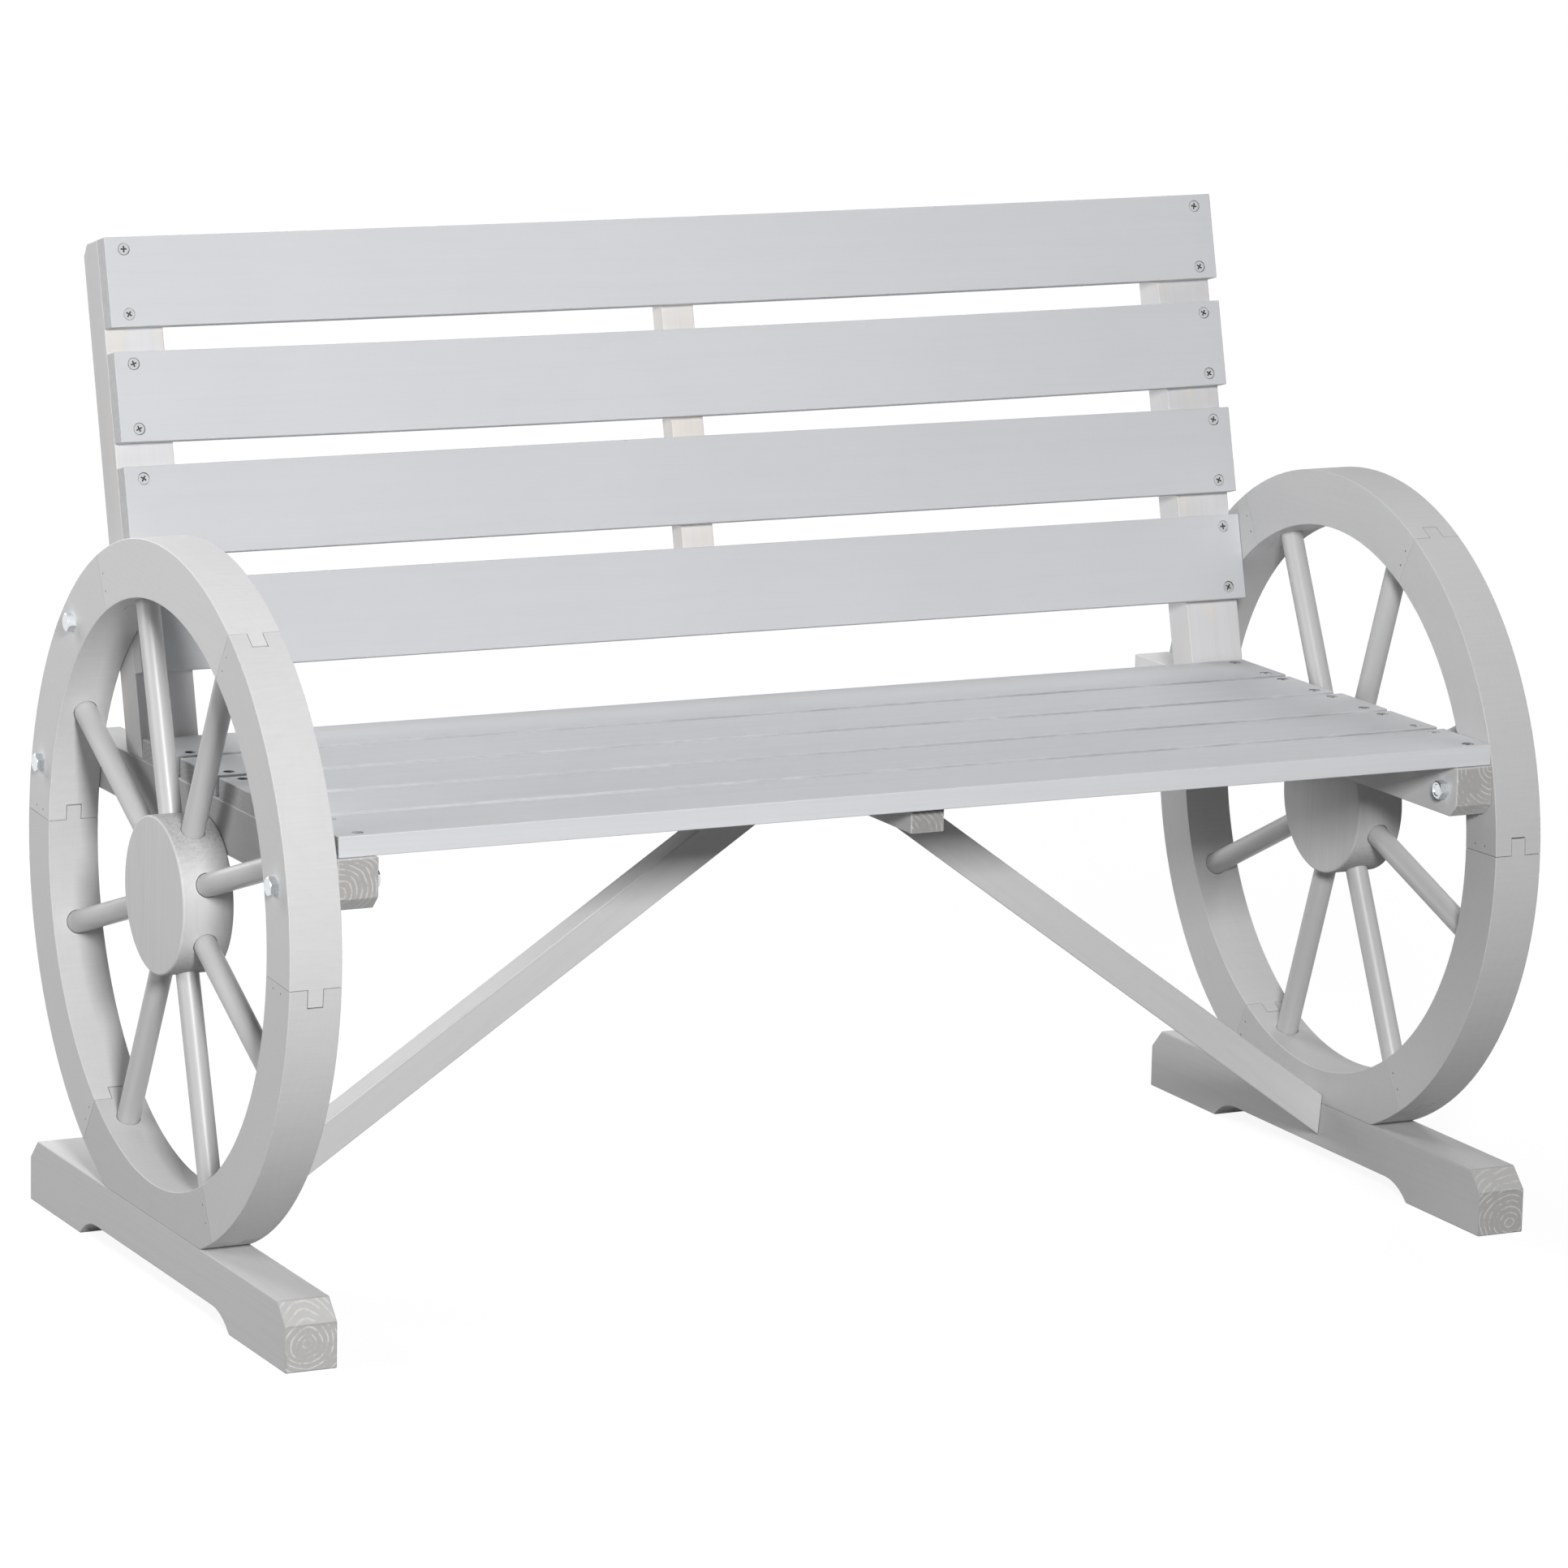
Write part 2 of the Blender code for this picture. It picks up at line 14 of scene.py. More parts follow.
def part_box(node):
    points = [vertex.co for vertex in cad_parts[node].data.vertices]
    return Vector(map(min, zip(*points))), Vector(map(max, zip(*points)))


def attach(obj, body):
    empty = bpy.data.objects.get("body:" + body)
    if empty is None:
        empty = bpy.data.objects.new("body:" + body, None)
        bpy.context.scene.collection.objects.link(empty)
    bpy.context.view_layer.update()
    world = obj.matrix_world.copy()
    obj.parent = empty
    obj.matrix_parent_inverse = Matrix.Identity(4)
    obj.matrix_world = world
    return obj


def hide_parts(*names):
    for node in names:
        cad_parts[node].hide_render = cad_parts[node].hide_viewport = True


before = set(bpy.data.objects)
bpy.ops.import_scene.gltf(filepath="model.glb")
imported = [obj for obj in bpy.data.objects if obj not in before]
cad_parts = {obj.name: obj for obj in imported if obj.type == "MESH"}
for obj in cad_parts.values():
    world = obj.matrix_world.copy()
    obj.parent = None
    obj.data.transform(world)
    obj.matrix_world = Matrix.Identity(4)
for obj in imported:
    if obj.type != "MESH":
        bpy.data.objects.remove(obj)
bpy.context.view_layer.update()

bl_info = {
    "name": "Wagon Wheel Bench",
    "version": (1, 0, 0),
    "blender": (4, 5, 0),
    "location": "3D View > Sidebar > Bench",
    "description": "Dresses a slatted bench that stands between two wagon wheels",
    "category": "Object",
}

SIDES = ("left", "right")
FELLOES = 6
SPOKES = 8
SEAT_SLATS = 5
BACK_SLATS = 4

ALONG_X = Vector((1, 0, 0))
ALONG_Y = Vector((0, 1, 0))
UP = Vector((0, 0, 1))
OUTWARD = {"left": -ALONG_X, "right": ALONG_X}

# Tolerances
WELD = 1e-5
FLAT_WITHIN = math.radians(1.0)
EASE_OVER = math.radians(25.0)
CREASE_OVER = math.radians(35.0)
SQUARE_ON = 0.999
NEARLY_SQUARE = 0.99
MARKED = 0.5

# Facets round each kind of piece, across an eased edge and along a sagging slat
FACETS = {
    "hub": 72,
    "nail": 10,
    "sink": 28,
    "screw_head": 32,
    "screw_shank": 16,
    "hexagon_chamfer": 64,
    "nut_bore": 48,
    "bolt": 32,
    "foot_screw": 24,
}
EASE_SEGMENTS = 3
BOW_CUTS = 15

# Tone of each piece against its wash; in the wheels and feet it also holds painted light and shade
TONES = (0.985, 1.015)
# Painted light and shade: the left wheel's felloes paler than the right ones, the top felloe palest, the
# bottom one darkest
FELLOE_TONES_AND_LIGHT = {
    "left": (1.15, 1.2, 1.1, 1.05, 0.95, 1.08),
    "right": (0.95, 0.98, 0.99, 0.98, 0.93, 0.97),
}
# Painted light: the left hub and the left foot paler than the right ones
HUB_TONES_AND_LIGHT = {"left": 1.08, "right": 0.99}
FOOT_TONES_AND_LIGHT = {"left": 1.08, "right": 0.95}
# The left upright a little paler than the right; seat slats darker towards the back, back slats towards
# the seat
UPRIGHT_TONES = {"left": 1.03, "right": 0.97, "centre": 1.0}
SEAT_TONES = (1.0, 0.99, 0.99, 0.975, 0.94)
BACK_TONES = (0.93, 0.95, 1.0, 1.015)

# Tone of single faces against the rest of their piece, mostly painted light and shade, and painted shade
# on a slat's edges
# Painted light on the feet's tops
FOOT_TOP_LIGHT = 1.12
# Painted shade on the feet's eased edges
FOOT_EDGE_SHADE = 0.82
# Painted shade on the bearers' front ends under the seat
BEARER_FRONT_SHADE = {"left": 0.88, "right": 0.88, "centre": 0.68}
# Painted shade on the left bearer's side behind the wheel, painted light on the right bearer's side
# under the seat
BEARER_LEFT_SIDE_SHADE_AND_LIGHT = {"left": 0.62, "right": 1.1, "centre": 1.0}
# Painted shade on the left upright's outer side behind the wheel
UPRIGHT_LEFT_SIDE_SHADE = {"left": 0.85, "right": 1.0, "centre": 1.0}
# Darker slat ends: partly the sawn end grain, partly painted shade beside the wheels
SLAT_END_GRAIN_AND_SHADE = 0.74
# Painted light on the front slat's front face
SEAT_FRONT_LIGHT = 1.03
# Painted shade on the faces in a seat gap, stronger towards the right end, and on the eased edges beside
# it
GAP_SHADE = (0.05, 0.4)
EDGE_SHADE = 0.2

# Growth of the timbers: the heart across and through a piece, and how both lean along it
BOARD_GROWTH = ((-0.03, 0.03), (-0.035, -0.08), (-0.01, 0.01), (-0.02, 0.02))
SPOKE_GROWTH = ((-0.02, 0.02), (0.01, 0.03), (-0.02, 0.02), (-0.02, 0.02))
FELLOE_HEART = (0.03, 0.07)
FELLOE_LEAN = ((-0.05, 0.05), (-0.03, 0.03))
HUB_HEART = (0.035, 0.05)
HUB_LEAN = (0.02, 0.03)
FOOT_HEARTS = {"left": (0.003, -0.004), "right": (-0.010, -0.016)}
FOOT_LEAN = (0.004, 0.006)
BEARER_HEARTS = {"left": (0.012, -0.006), "right": (-0.017, 0.017), "centre": (0.03, -0.02)}
BEARER_LEAN = (0.006, 0.008)
LOG_LENGTH = 50.0


def length(name, description, default):
    """A size in metres that shows in the panel."""
    return FloatProperty(
        name=name,
        description=description,
        default=default,
        min=0.0,
        precision=5,
        unit="LENGTH",
        subtype="DISTANCE",
    )


def tilt(name, description, degrees):
    """An angle that shows in the panel."""
    return FloatProperty(
        name=name, description=description, default=math.radians(degrees), subtype="ANGLE"
    )


def count(name, description, default, low, high):
    """A whole number that shows in the panel."""
    return IntProperty(name=name, description=description, default=default, min=low, max=high)


def shade(name, description, default):
    """A colour that shows in the panel."""
    return FloatVectorProperty(
        name=name, description=description, default=default, size=3, min=0.0, max=1.0, subtype="COLOR"
    )


class BenchTimber(bpy.types.PropertyGroup):
    """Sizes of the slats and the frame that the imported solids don't carry."""

    slat_ease: length("Slat easing", "Radius along the edges of the slats", 0.0007)
    frame_ease: length("Frame easing", "Radius along the edges of the frame's timbers", 0.0009)
    screw_inset: length("Screw inset", "From a slat's end to its screws", 0.0155)
    screw_spread: length("Screw spread", "Between the two screws at a slat's end", 0.0505)
    sink_radius: length("Sink radius", "Countersink at the slat's face", 0.0048)
    left_sink: length("Left sink", "How deep the screws at the seat's left end were driven", 0.0042)
    front_inset: length("Front inset", "How much further in the front slat's left screws sit", 0.005)
    ring_pitch: length("Ring pitch", "Between two growth rings of the timber", 0.0042)


class BenchWheels(bpy.types.PropertyGroup):
    """Sizes of the two wheels."""

    rim_depth: length("Rim depth", "Between the rim's tread and its inner surface", 0.045)
    rim_ease: length("Rim easing", "Radius along the edges of the rim", 0.0006)
    joint_gap: length("Joint gap", "Line left open where two felloes meet", 0.0005)
    tongue_length: length("Tongue length", "Tongue at a felloe's far end", 0.0125)
    tongue_width: length("Tongue width", "Tongue across the rim", 0.0118)
    flat_drop: length("Flat drop", "From the axle down to the planed flat", 0.2515)
    hub_ease: length("Hub easing", "Radius at the hub's rims", 0.0016)
    mortise_clearance: length("Mortise clearance", "Dark ring left round a spoke", 0.0005)
    mortise_depth: length("Mortise depth", "Of the spokes' holes", 0.012)
    nail_radius: length("Nail hole radius", "Of the holes over the joints' nails", 0.0009)
    felloe_steps: count("Felloe steps", "Facets along one felloe", 20, 4, 60)
    spoke_sides: count("Spoke sides", "Facets round a spoke", 28, 8, 64)
    first_spoke: tilt("First spoke", "Angle of the first spoke", 24.3)
    left_roll: tilt("Left roll", "How far the left wheel is turned", 3.3)
    right_roll: tilt("Right roll", "How far the right wheel is turned", 1.2)


class BenchFasteners(bpy.types.PropertyGroup):
    """Sizes of bolts, nuts and screws."""

    head_flats: length("Bolt head flats", "Across the flats of bolts and nuts", 0.013)
    head_height: length("Bolt head height", "Of a bolt's head", 0.0062)
    nut_height: length("Nut height", "Of a bolt's nut", 0.0068)
    bolt_radius: length("Bolt radius", "Of a bolt's shank", 0.004)
    tip_recess: length("Tip recess", "From the nut's face in to the bolt's tip", 0.002)
    foot_flats: length("Foot screw flats", "Across the flats of a foot screw", 0.010)
    foot_head: length("Foot screw head", "Height of a foot screw's head", 0.004)
    foot_shank: length("Foot screw shank", "Radius of a foot screw's shank", 0.003)
    screw_radius: length("Screw head radius", "Of the slat screws", 0.0043)
    screw_length: length("Screw length", "Of the slat screws", 0.014)
    recess_width: length("Recess width", "One wing of the cross recess", 0.0012)
    recess_span: length("Recess span", "Across the cross recess", 0.0050)
    recess_depth: length("Recess depth", "Of the cross recess", 0.0016)
    back_lift: length("Back bolt lift", "How much higher than drawn the uprights' bolts sit", 0.0027)


class BenchFinish(bpy.types.PropertyGroup):
    """Colours of the wash, the bare ends and the metal."""

    slats: shade("Slats", "Wash on the seat and back slats", (0.646, 0.657, 0.677))
    uprights: shade("End uprights", "Wash on the uprights at the ends", (0.706, 0.703, 0.711))
    centre: shade("Centre upright", "Thin warm wash on the centre upright", (0.788, 0.763, 0.746))
    feet: shade("Feet", "Wash on the feet", (0.56, 0.56, 0.56))
    timber: shade("Frame", "Wash on bearers and braces", (0.66, 0.66, 0.66))
    wheels: shade("Wheels", "Wash on rims and hubs", (0.59, 0.59, 0.59))
    spokes: shade("Spokes", "Wash on the spokes", (0.53, 0.53, 0.53))
    end_dark: shade("End grain", "Soaked early wood on sawn ends", (0.425, 0.416, 0.405))
    end_pale: shade("End rings", "Pale late wood on sawn ends", (0.68, 0.675, 0.66))
    zinc: shade("Zinc", "Plating on bolts, nuts and foot screws", (0.70, 0.735, 0.76))
    screws: shade("Screws", "Screw heads, dulled by the wash", (0.60, 0.605, 0.62))
    # Also the painted shade in the screws' cross recesses
    nail: shade("Nails", "Sunk nails", (0.05, 0.048, 0.046))


def colour_of(name):
    """One of the finish's colours."""
    return tuple(getattr(bpy.context.scene.bench_finish, name))


# Shader sums

MIX_COLOURS = (6, 7)
MIX_RESULT = 2


def plug(tree, value, socket):
    """Link a value to a socket, or make a constant the socket's own."""
    if isinstance(value, bpy.types.NodeSocket):
        tree.links.new(value, socket)
    else:
        socket.default_value = value


def node(tree, kind, inputs=None, **settings):
    """Add a shader node, set it up and link or fill its sockets."""
    made = tree.nodes.new(kind)
    for key, value in settings.items():
        setattr(made, key, value)
    for key, value in (inputs or {}).items():
        plug(tree, value, made.inputs[key])
    return made


def attribute(tree, name, output="Fac"):
    """What a mesh holds under a name."""
    return node(tree, "ShaderNodeAttribute", attribute_name=name).outputs[output]


def object_place(tree):
    """A point's place in its object."""
    return node(tree, "ShaderNodeTexCoord").outputs["Object"]


def noise(tree, vector, pattern, output="Fac"):
    """A noise pattern, stretched along its vector's x."""
    along, across, detail, roughness = pattern
    place = node(tree, "ShaderNodeMapping", {"Vector": vector, "Scale": (along, across, across)})
    inputs = {"Vector": place.outputs[0], "Scale": 1.0, "Detail": detail, "Roughness": roughness}
    return node(tree, "ShaderNodeTexNoise", inputs).outputs[output]


def math_node(tree, operation, first, second, third=0.0):
    """One sum on shader values."""
    inputs = {0: first, 1: second, 2: third}
    return node(tree, "ShaderNodeMath", inputs, operation=operation).outputs["Value"]


def vector_node(tree, operation, inputs):
    """One sum on shader vectors."""
    return node(tree, "ShaderNodeVectorMath", inputs, operation=operation).outputs["Vector"]


def ranged(tree, value, low, high, to_low=0.0, to_high=1.0):
    """A value taken smoothly from one range to another."""
    inputs = {"Value": value, "From Min": low, "From Max": high, "To Min": to_low, "To Max": to_high}
    return node(tree, "ShaderNodeMapRange", inputs, interpolation_type="SMOOTHSTEP").outputs["Result"]


def mixed(tree, factor, *colours):
    """Two colours mixed."""
    made = node(tree, "ShaderNodeMix", {"Factor": factor}, data_type="RGBA")
    for key, colour in zip(MIX_COLOURS, colours):
        plug(tree, (*colour, 1.0) if isinstance(colour, tuple) else colour, made.inputs[key])
    return made.outputs[MIX_RESULT]


def bump(tree, surface, height, strength, distance):
    """Let a pattern raise a surface a little."""
    made = node(tree, "ShaderNodeBump", {"Height": height, "Strength": strength, "Distance": distance})
    plug(tree, made.outputs["Normal"], surface["Normal"])


def cleared(owner):
    """The emptied node tree of a material or a world."""
    owner.use_nodes = True
    owner.node_tree.nodes.clear()
    return owner.node_tree


def material(name, paint, *settings):
    """A material, painted by a function the first time it is asked for."""
    if name in bpy.data.materials:
        return bpy.data.materials[name]
    made = bpy.data.materials.new(name)
    tree = cleared(made)
    surface = node(tree, "ShaderNodeBsdfPrincipled")
    node(tree, "ShaderNodeOutputMaterial", {"Surface": surface.outputs["BSDF"]})
    paint(tree, surface.inputs, *settings)
    return made


# Washed wood

# Patterns: scale along x and across it, detail, roughness
FIBRES = (16.0, 760.0, 3.0, 0.6)
STREAKS = (2.4, 95.0, 3.0, 0.55)
CLOUDS = (7.0, 7.0, 4.0, 0.6)
PEBBLES = (380.0, 380.0, 4.0, 0.65)
BRUSH_MARKS = (26.0, 420.0, 3.0, 0.6)
WEAR = (20.0, 120.0, 3.0, 0.6)
THIN_SPOTS = (12.0, 40.0, 3.0, 0.5)
WANDER = (1.6, 22.0, 2.0, 0.5)
NOISE_MEAN = 0.5

# Ranges of a pattern and, where they aren't 0 to 1, what they become
SAWN_ACROSS = (0.42, 0.95)
LATE_WOOD = (0.6, 0.95)
# Patches that break up the painted shade
PATCHY_SHADE = (0.3, 0.62, 0.2, 1.0)
THIN_WASH = (0.5, 0.66)
BROKEN_RINGS = (0.36, 0.6)
END_LINES = (0.12, 1.2)

# Shares of a pattern in the rings, the sawn ends, the roughness and the height
RING_WANDER = 0.015
WAVE_RADIANS = 20.0
END_PEBBLES = 0.55
STREAK_ROUGHNESS = 0.2
SAWN_ROUGHNESS = 0.15
FIBRE_HEIGHT = 0.4
RING_HEIGHT = 0.12
SAWN_HEIGHT = 1.5
PEBBLE_HEIGHT = 4.0
WOOD_BUMP = (0.3, 0.0003)
WARM_WOOD = (1.05, 1.01, 0.94)


class Coat(NamedTuple):
    """How strongly grain and wear show through a wash, how sawn ends soak it up, and how it shines."""

    fibre: float
    streak: float
    cloud: float
    brushed: float = 0.0
    ring: float = 0.02
    pebble: float = 0.1
    soak: float = 0.0
    bare: float = 0.9
    warm: float = 0.0
    roughness: float = 0.56
    shine: float = 0.25


# Colour, slot and coat of each kind of wooden piece
WASHES = {
    "back": ("slats", "slat_paint", Coat(0.03, 0.035, 0.07, ring=0.006, bare=0.45)),
    "seat": ("slats", "slat_paint", Coat(0.05, 0.12, 0.09, ring=0.012, bare=0.45)),
    "uprights": ("uprights", "frame_paint", Coat(0.06, 0.10, 0.06, warm=0.9)),
    "centre": ("centre", "frame_paint", Coat(0.06, 0.10, 0.06, warm=0.6)),
    "timber": ("timber", "frame_paint", Coat(0.05, 0.07, 0.05)),
    "feet": ("feet", "frame_paint", Coat(0.07, 0.09, 0.06)),
    "rims": ("wheels", "wheel_paint", Coat(0.02, 0.03, 0.07, 0.09, ring=0.01, bare=0.0)),
    "hubs": ("wheels", "wheel_paint", Coat(0.08, 0.14, 0.12, ring=0.03, pebble=0.7, soak=0.3, bare=0.0)),
    "spokes": ("spokes", "wheel_paint", Coat(0.04, 0.14, 0.06, bare=0.0, roughness=0.37, shine=0.54)),
}


def ring_lines(tree, stock):
    """Growth rings of the timber as thin late-wood lines, wandering a little along the grain."""
    wander = noise(tree, stock, WANDER, "Color")
    wander = vector_node(tree, "SUBTRACT", {0: wander, 1: (NOISE_MEAN, NOISE_MEAN, NOISE_MEAN)})
    wander = vector_node(tree, "SCALE", {0: wander, "Scale": RING_WANDER})
    inputs = {
        "Vector": vector_node(tree, "ADD", {0: stock, 1: wander}),
        "Scale": math.tau / (WAVE_RADIANS * bpy.context.scene.bench_timber.ring_pitch),
        "Distortion": 0.8,
        "Detail": 2.0,
        "Detail Scale": 0.6,
    }
    shape = {"wave_type": "RINGS", "rings_direction": "X", "wave_profile": "SAW"}
    return ranged(tree, node(tree, "ShaderNodeTexWave", inputs, **shape).outputs["Fac"], *LATE_WOOD)


def washed_wood(tree, surface, colour, coat):
    """Softwood under a thin pale wash: faint grain on long faces, rings and soaked wood on sawn ends."""
    stock = attribute(tree, "stock", "Vector")
    place = object_place(tree)
    sawn = ranged(tree, attribute(tree, "end_grain"), *SAWN_ACROSS)
    late = ring_lines(tree, stock)
    fibres = noise(tree, stock, FIBRES)
    streaks = noise(tree, stock, STREAKS)
    worn = noise(tree, stock, WEAR)
    pebbles = noise(tree, place, PEBBLES)
    rough_end = math_node(tree, "MULTIPLY", math_node(tree, "SUBTRACT", pebbles, NOISE_MEAN), sawn)

    grain = (
        (fibres, coat.fibre),
        (streaks, coat.streak),
        (noise(tree, place, CLOUDS), coat.cloud),
        (noise(tree, place, BRUSH_MARKS), coat.brushed),
    )
    value = 1.0 - NOISE_MEAN * sum(share for _, share in grain)
    for pattern, share in (*grain, (late, -coat.ring), (rough_end, coat.pebble), (sawn, -coat.soak)):
        value = math_node(tree, "MULTIPLY_ADD", pattern, share, value)
    # Painted shade in the slats' gaps and screw holes, broken into patches
    shade_dark = math_node(tree, "MULTIPLY", attribute(tree, "grime"), ranged(tree, worn, *PATCHY_SHADE))
    value = math_node(tree, "MULTIPLY", value, math_node(tree, "SUBTRACT", 1.0, shade_dark))
    washed = vector_node(tree, "SCALE", {0: colour, "Scale": value})
    thin = ranged(tree, noise(tree, stock, THIN_SPOTS), *THIN_WASH)
    warmer = vector_node(tree, "MULTIPLY", {0: washed, 1: WARM_WOOD})
    washed = mixed(tree, math_node(tree, "MULTIPLY", thin, coat.warm), washed, warmer)

    line = math_node(tree, "MULTIPLY", late, ranged(tree, worn, *BROKEN_RINGS))
    line = math_node(tree, "MULTIPLY_ADD", pebbles, END_PEBBLES, line)
    ends = mixed(tree, ranged(tree, line, *END_LINES), colour_of("end_dark"), colour_of("end_pale"))
    finished = mixed(tree, math_node(tree, "MULTIPLY", sawn, coat.bare), washed, ends)
    finished = vector_node(tree, "SCALE", {0: finished, "Scale": attribute(tree, "tone")})
    plug(tree, finished, surface["Base Color"])

    smoothest = coat.roughness - NOISE_MEAN * STREAK_ROUGHNESS
    rough = math_node(tree, "MULTIPLY_ADD", streaks, STREAK_ROUGHNESS, smoothest)
    plug(tree, math_node(tree, "MULTIPLY_ADD", sawn, SAWN_ROUGHNESS, rough), surface["Roughness"])
    plug(tree, coat.shine, surface["Specular IOR Level"])

    height = math_node(tree, "MULTIPLY", late, RING_HEIGHT)
    height = math_node(tree, "MULTIPLY_ADD", fibres, FIBRE_HEIGHT, height)
    end_height = SAWN_HEIGHT + PEBBLE_HEIGHT * coat.pebble
    bump(tree, surface, math_node(tree, "MULTIPLY_ADD", rough_end, end_height, height), *WOOD_BUMP)


def wash(kind):
    """The washed wood of one kind of piece."""
    colour, _, coat = WASHES[kind]
    return material(f"{kind}_wash", washed_wood, colour_of(colour), coat)


# Metals

STAINS = (420.0, 420.0, 4.0, 0.6)
STAINED = (0.42, 0.72)
STAIN_SHADE = 0.92
ZINC_ROUGHNESS = (0.3, 0.75, 0.2, 0.3)
ZINC_GRAINS = (2600.0, 2600.0, 2.0, 0.5)
ZINC_BUMP = (0.06, 0.00005)
NAIL_STAINS = (900.0, 900.0, 3.0, 0.6)
NAIL_STAIN_SHADE = 1.8
NAIL_ROUGHNESS = (0.2, 0.8, 0.5, 0.75)


def zinc_plate(tree, surface, colour, metallic):
    """Plating with a faint blue cast and small stains, bright or dulled by the wash."""
    place = object_place(tree)
    stains = noise(tree, place, STAINS)
    dulled = tuple(STAIN_SHADE * part for part in colour)
    plug(tree, mixed(tree, ranged(tree, stains, *STAINED), colour, dulled), surface["Base Color"])
    plug(tree, ranged(tree, stains, *ZINC_ROUGHNESS), surface["Roughness"])
    plug(tree, metallic, surface["Metallic"])
    bump(tree, surface, noise(tree, place, ZINC_GRAINS), *ZINC_BUMP)


def nail_steel(tree, surface, colour):
    """Dark blued steel, for the nails and for the shade in a screw's recess."""
    stains = noise(tree, object_place(tree), NAIL_STAINS)
    paler = tuple(NAIL_STAIN_SHADE * part for part in colour)
    plug(tree, mixed(tree, stains, colour, paler), surface["Base Color"])
    plug(tree, ranged(tree, stains, *NAIL_ROUGHNESS), surface["Roughness"])


METALS = {
    "zinc_plate": (zinc_plate, "zinc", 1.0),
    "screws_plate": (zinc_plate, "screws", 0.3),
    "nail_steel": (nail_steel, "nail"),
}


def metal(name):
    """One of the bench's metals."""
    paint, colour, *settings = METALS[name]
    return material(name, paint, colour_of(colour), *settings)


# Shapes and pieces


class Stock:
    """How a piece lies in the timber it was sawn from: its middle, its grain, and the tree's heart."""

    def __init__(self, middle, along, across, heart, lean):
        self.middle = middle
        self.along = along.normalized()
        self.across = across.normalized()
        self.through = self.along.cross(self.across)
        self.heart = heart
        self.lean = lean

    def place(self, point, shift):
        """A point's place in the timber."""
        away = point - self.middle
        run = away.dot(self.along)
        across = away.dot(self.across) - self.heart[0] + self.lean[0] * run
        through = away.dot(self.through) - self.heart[1] + self.lean[1] * run
        return run + shift, across, through


def grown_stock(name, middle, along, across, growth):
    """Stock whose heart and lean are drawn from the ranges of its growth."""
    luck = random.Random(name)
    drawn = [luck.uniform(*span) for span in growth]
    return Stock(middle, along, across, drawn[:2], drawn[2:])


def box_middle(name):
    """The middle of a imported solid's box."""
    low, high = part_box(name)
    return (low + high) / 2


def linked(name, data):
    """A new object in the scene."""
    made = bpy.data.objects.new(name, data)
    bpy.context.scene.collection.objects.link(made)
    return made


def new_object(name, bm):
    """A mesh object from a bmesh, which is freed."""
    mesh = bpy.data.meshes.new(name)
    bm.to_mesh(mesh)
    bm.free()
    return linked(name, mesh)


@contextmanager
def opened(mesh):
    """A mesh opened for changes, which are written back."""
    bm = bmesh.new()
    bm.from_mesh(mesh)
    yield bm
    bm.to_mesh(mesh)
    bm.free()


def carve(made, shape, operation="DIFFERENCE"):
    """Cut an object with a shape and keep the result in its mesh."""
    tool = new_object("tool", shape)
    change = made.modifiers.new("carve", "BOOLEAN")
    change.operation = operation
    change.solver = "EXACT"
    change.object = tool
    result = bpy.data.meshes.new_from_object(made.evaluated_get(bpy.context.evaluated_depsgraph_get()))
    made.modifiers.clear()
    spent = (made.data, tool.data)
    made.data = result
    bpy.data.objects.remove(tool)
    for mesh in spent:
        bpy.data.meshes.remove(mesh)
    result.name = made.name


def crease(made):
    """Keep true corners and the borders of eased edges sharp, and let curves shade smoothly."""
    with opened(made.data) as bm:
        layer = bm.faces.layers.float.get("eased")
        for edge in bm.edges:
            edge.smooth = True
            if len(edge.link_faces) == 2:
                first, second = edge.link_faces
                turned = edge.calc_face_angle(0.0) > CREASE_OVER
                border = layer is not None and first[layer] != second[layer]
                edge.smooth = not (turned or border)


def write_stock(made, stock, tone):
    """Write each point's place in the timber, each face's cut across the grain, and the piece's tone."""
    mesh = made.data
    tones = mesh.attributes.new("tone", "FLOAT", "FACE")
    tones.data.foreach_set("value", [tone] * len(mesh.polygons))
    shift = random.Random(made.name).uniform(0.0, LOG_LENGTH)
    places = mesh.attributes.new("stock", "FLOAT_VECTOR", "POINT")
    for index, vertex in enumerate(mesh.vertices):
        places.data[index].vector = stock.place(vertex.co, shift)
    cuts = mesh.attributes.new("end_grain", "FLOAT", "FACE")
    for index, face in enumerate(mesh.polygons):
        cuts.data[index].value = abs(face.normal.dot(stock.along))


def declare(made, surface, slot, *nodes):
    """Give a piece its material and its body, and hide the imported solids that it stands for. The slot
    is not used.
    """
    made.data.materials.append(surface)
    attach(made, "root")
    if nodes:
        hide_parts(*nodes)


def wooden(name, bm, stock, kind, tool=None, tone=None):
    """Finish a node's wooden piece: cut its holes, crease it, lay its grain and wash it."""
    made = new_object(f"{name}_washed", bm)
    if tool is not None:
        carve(made, tool)
    crease(made)
    write_stock(made, stock, tone or random.Random(f"tone of {made.name}").uniform(*TONES))
    declare(made, wash(kind), WASHES[kind][1], name)
    return made


def plated(name, bm, surface, *nodes):
    """Finish a metal piece."""
    made = new_object(name, bm)
    crease(made)
    declare(made, metal(surface), "zinc", *nodes)
    return made


def retone(made, toward, share):
    """Make the faces that look one way paler or darker than the rest of a piece: painted light and
    shade.
    """
    tones = made.data.attributes["tone"]
    for index, face in enumerate(made.data.polygons):
        if face.normal.dot(toward) > SQUARE_ON:
            tones.data[index].value *= share


def shade_edges(made, share):
    """Darken a piece's eased edges: painted shade that hides the light they catch."""
    tones = made.data.attributes["tone"]
    for index, mark in enumerate(made.data.attributes["eased"].data):
        if mark.value > MARKED:
            tones.data[index].value *= share


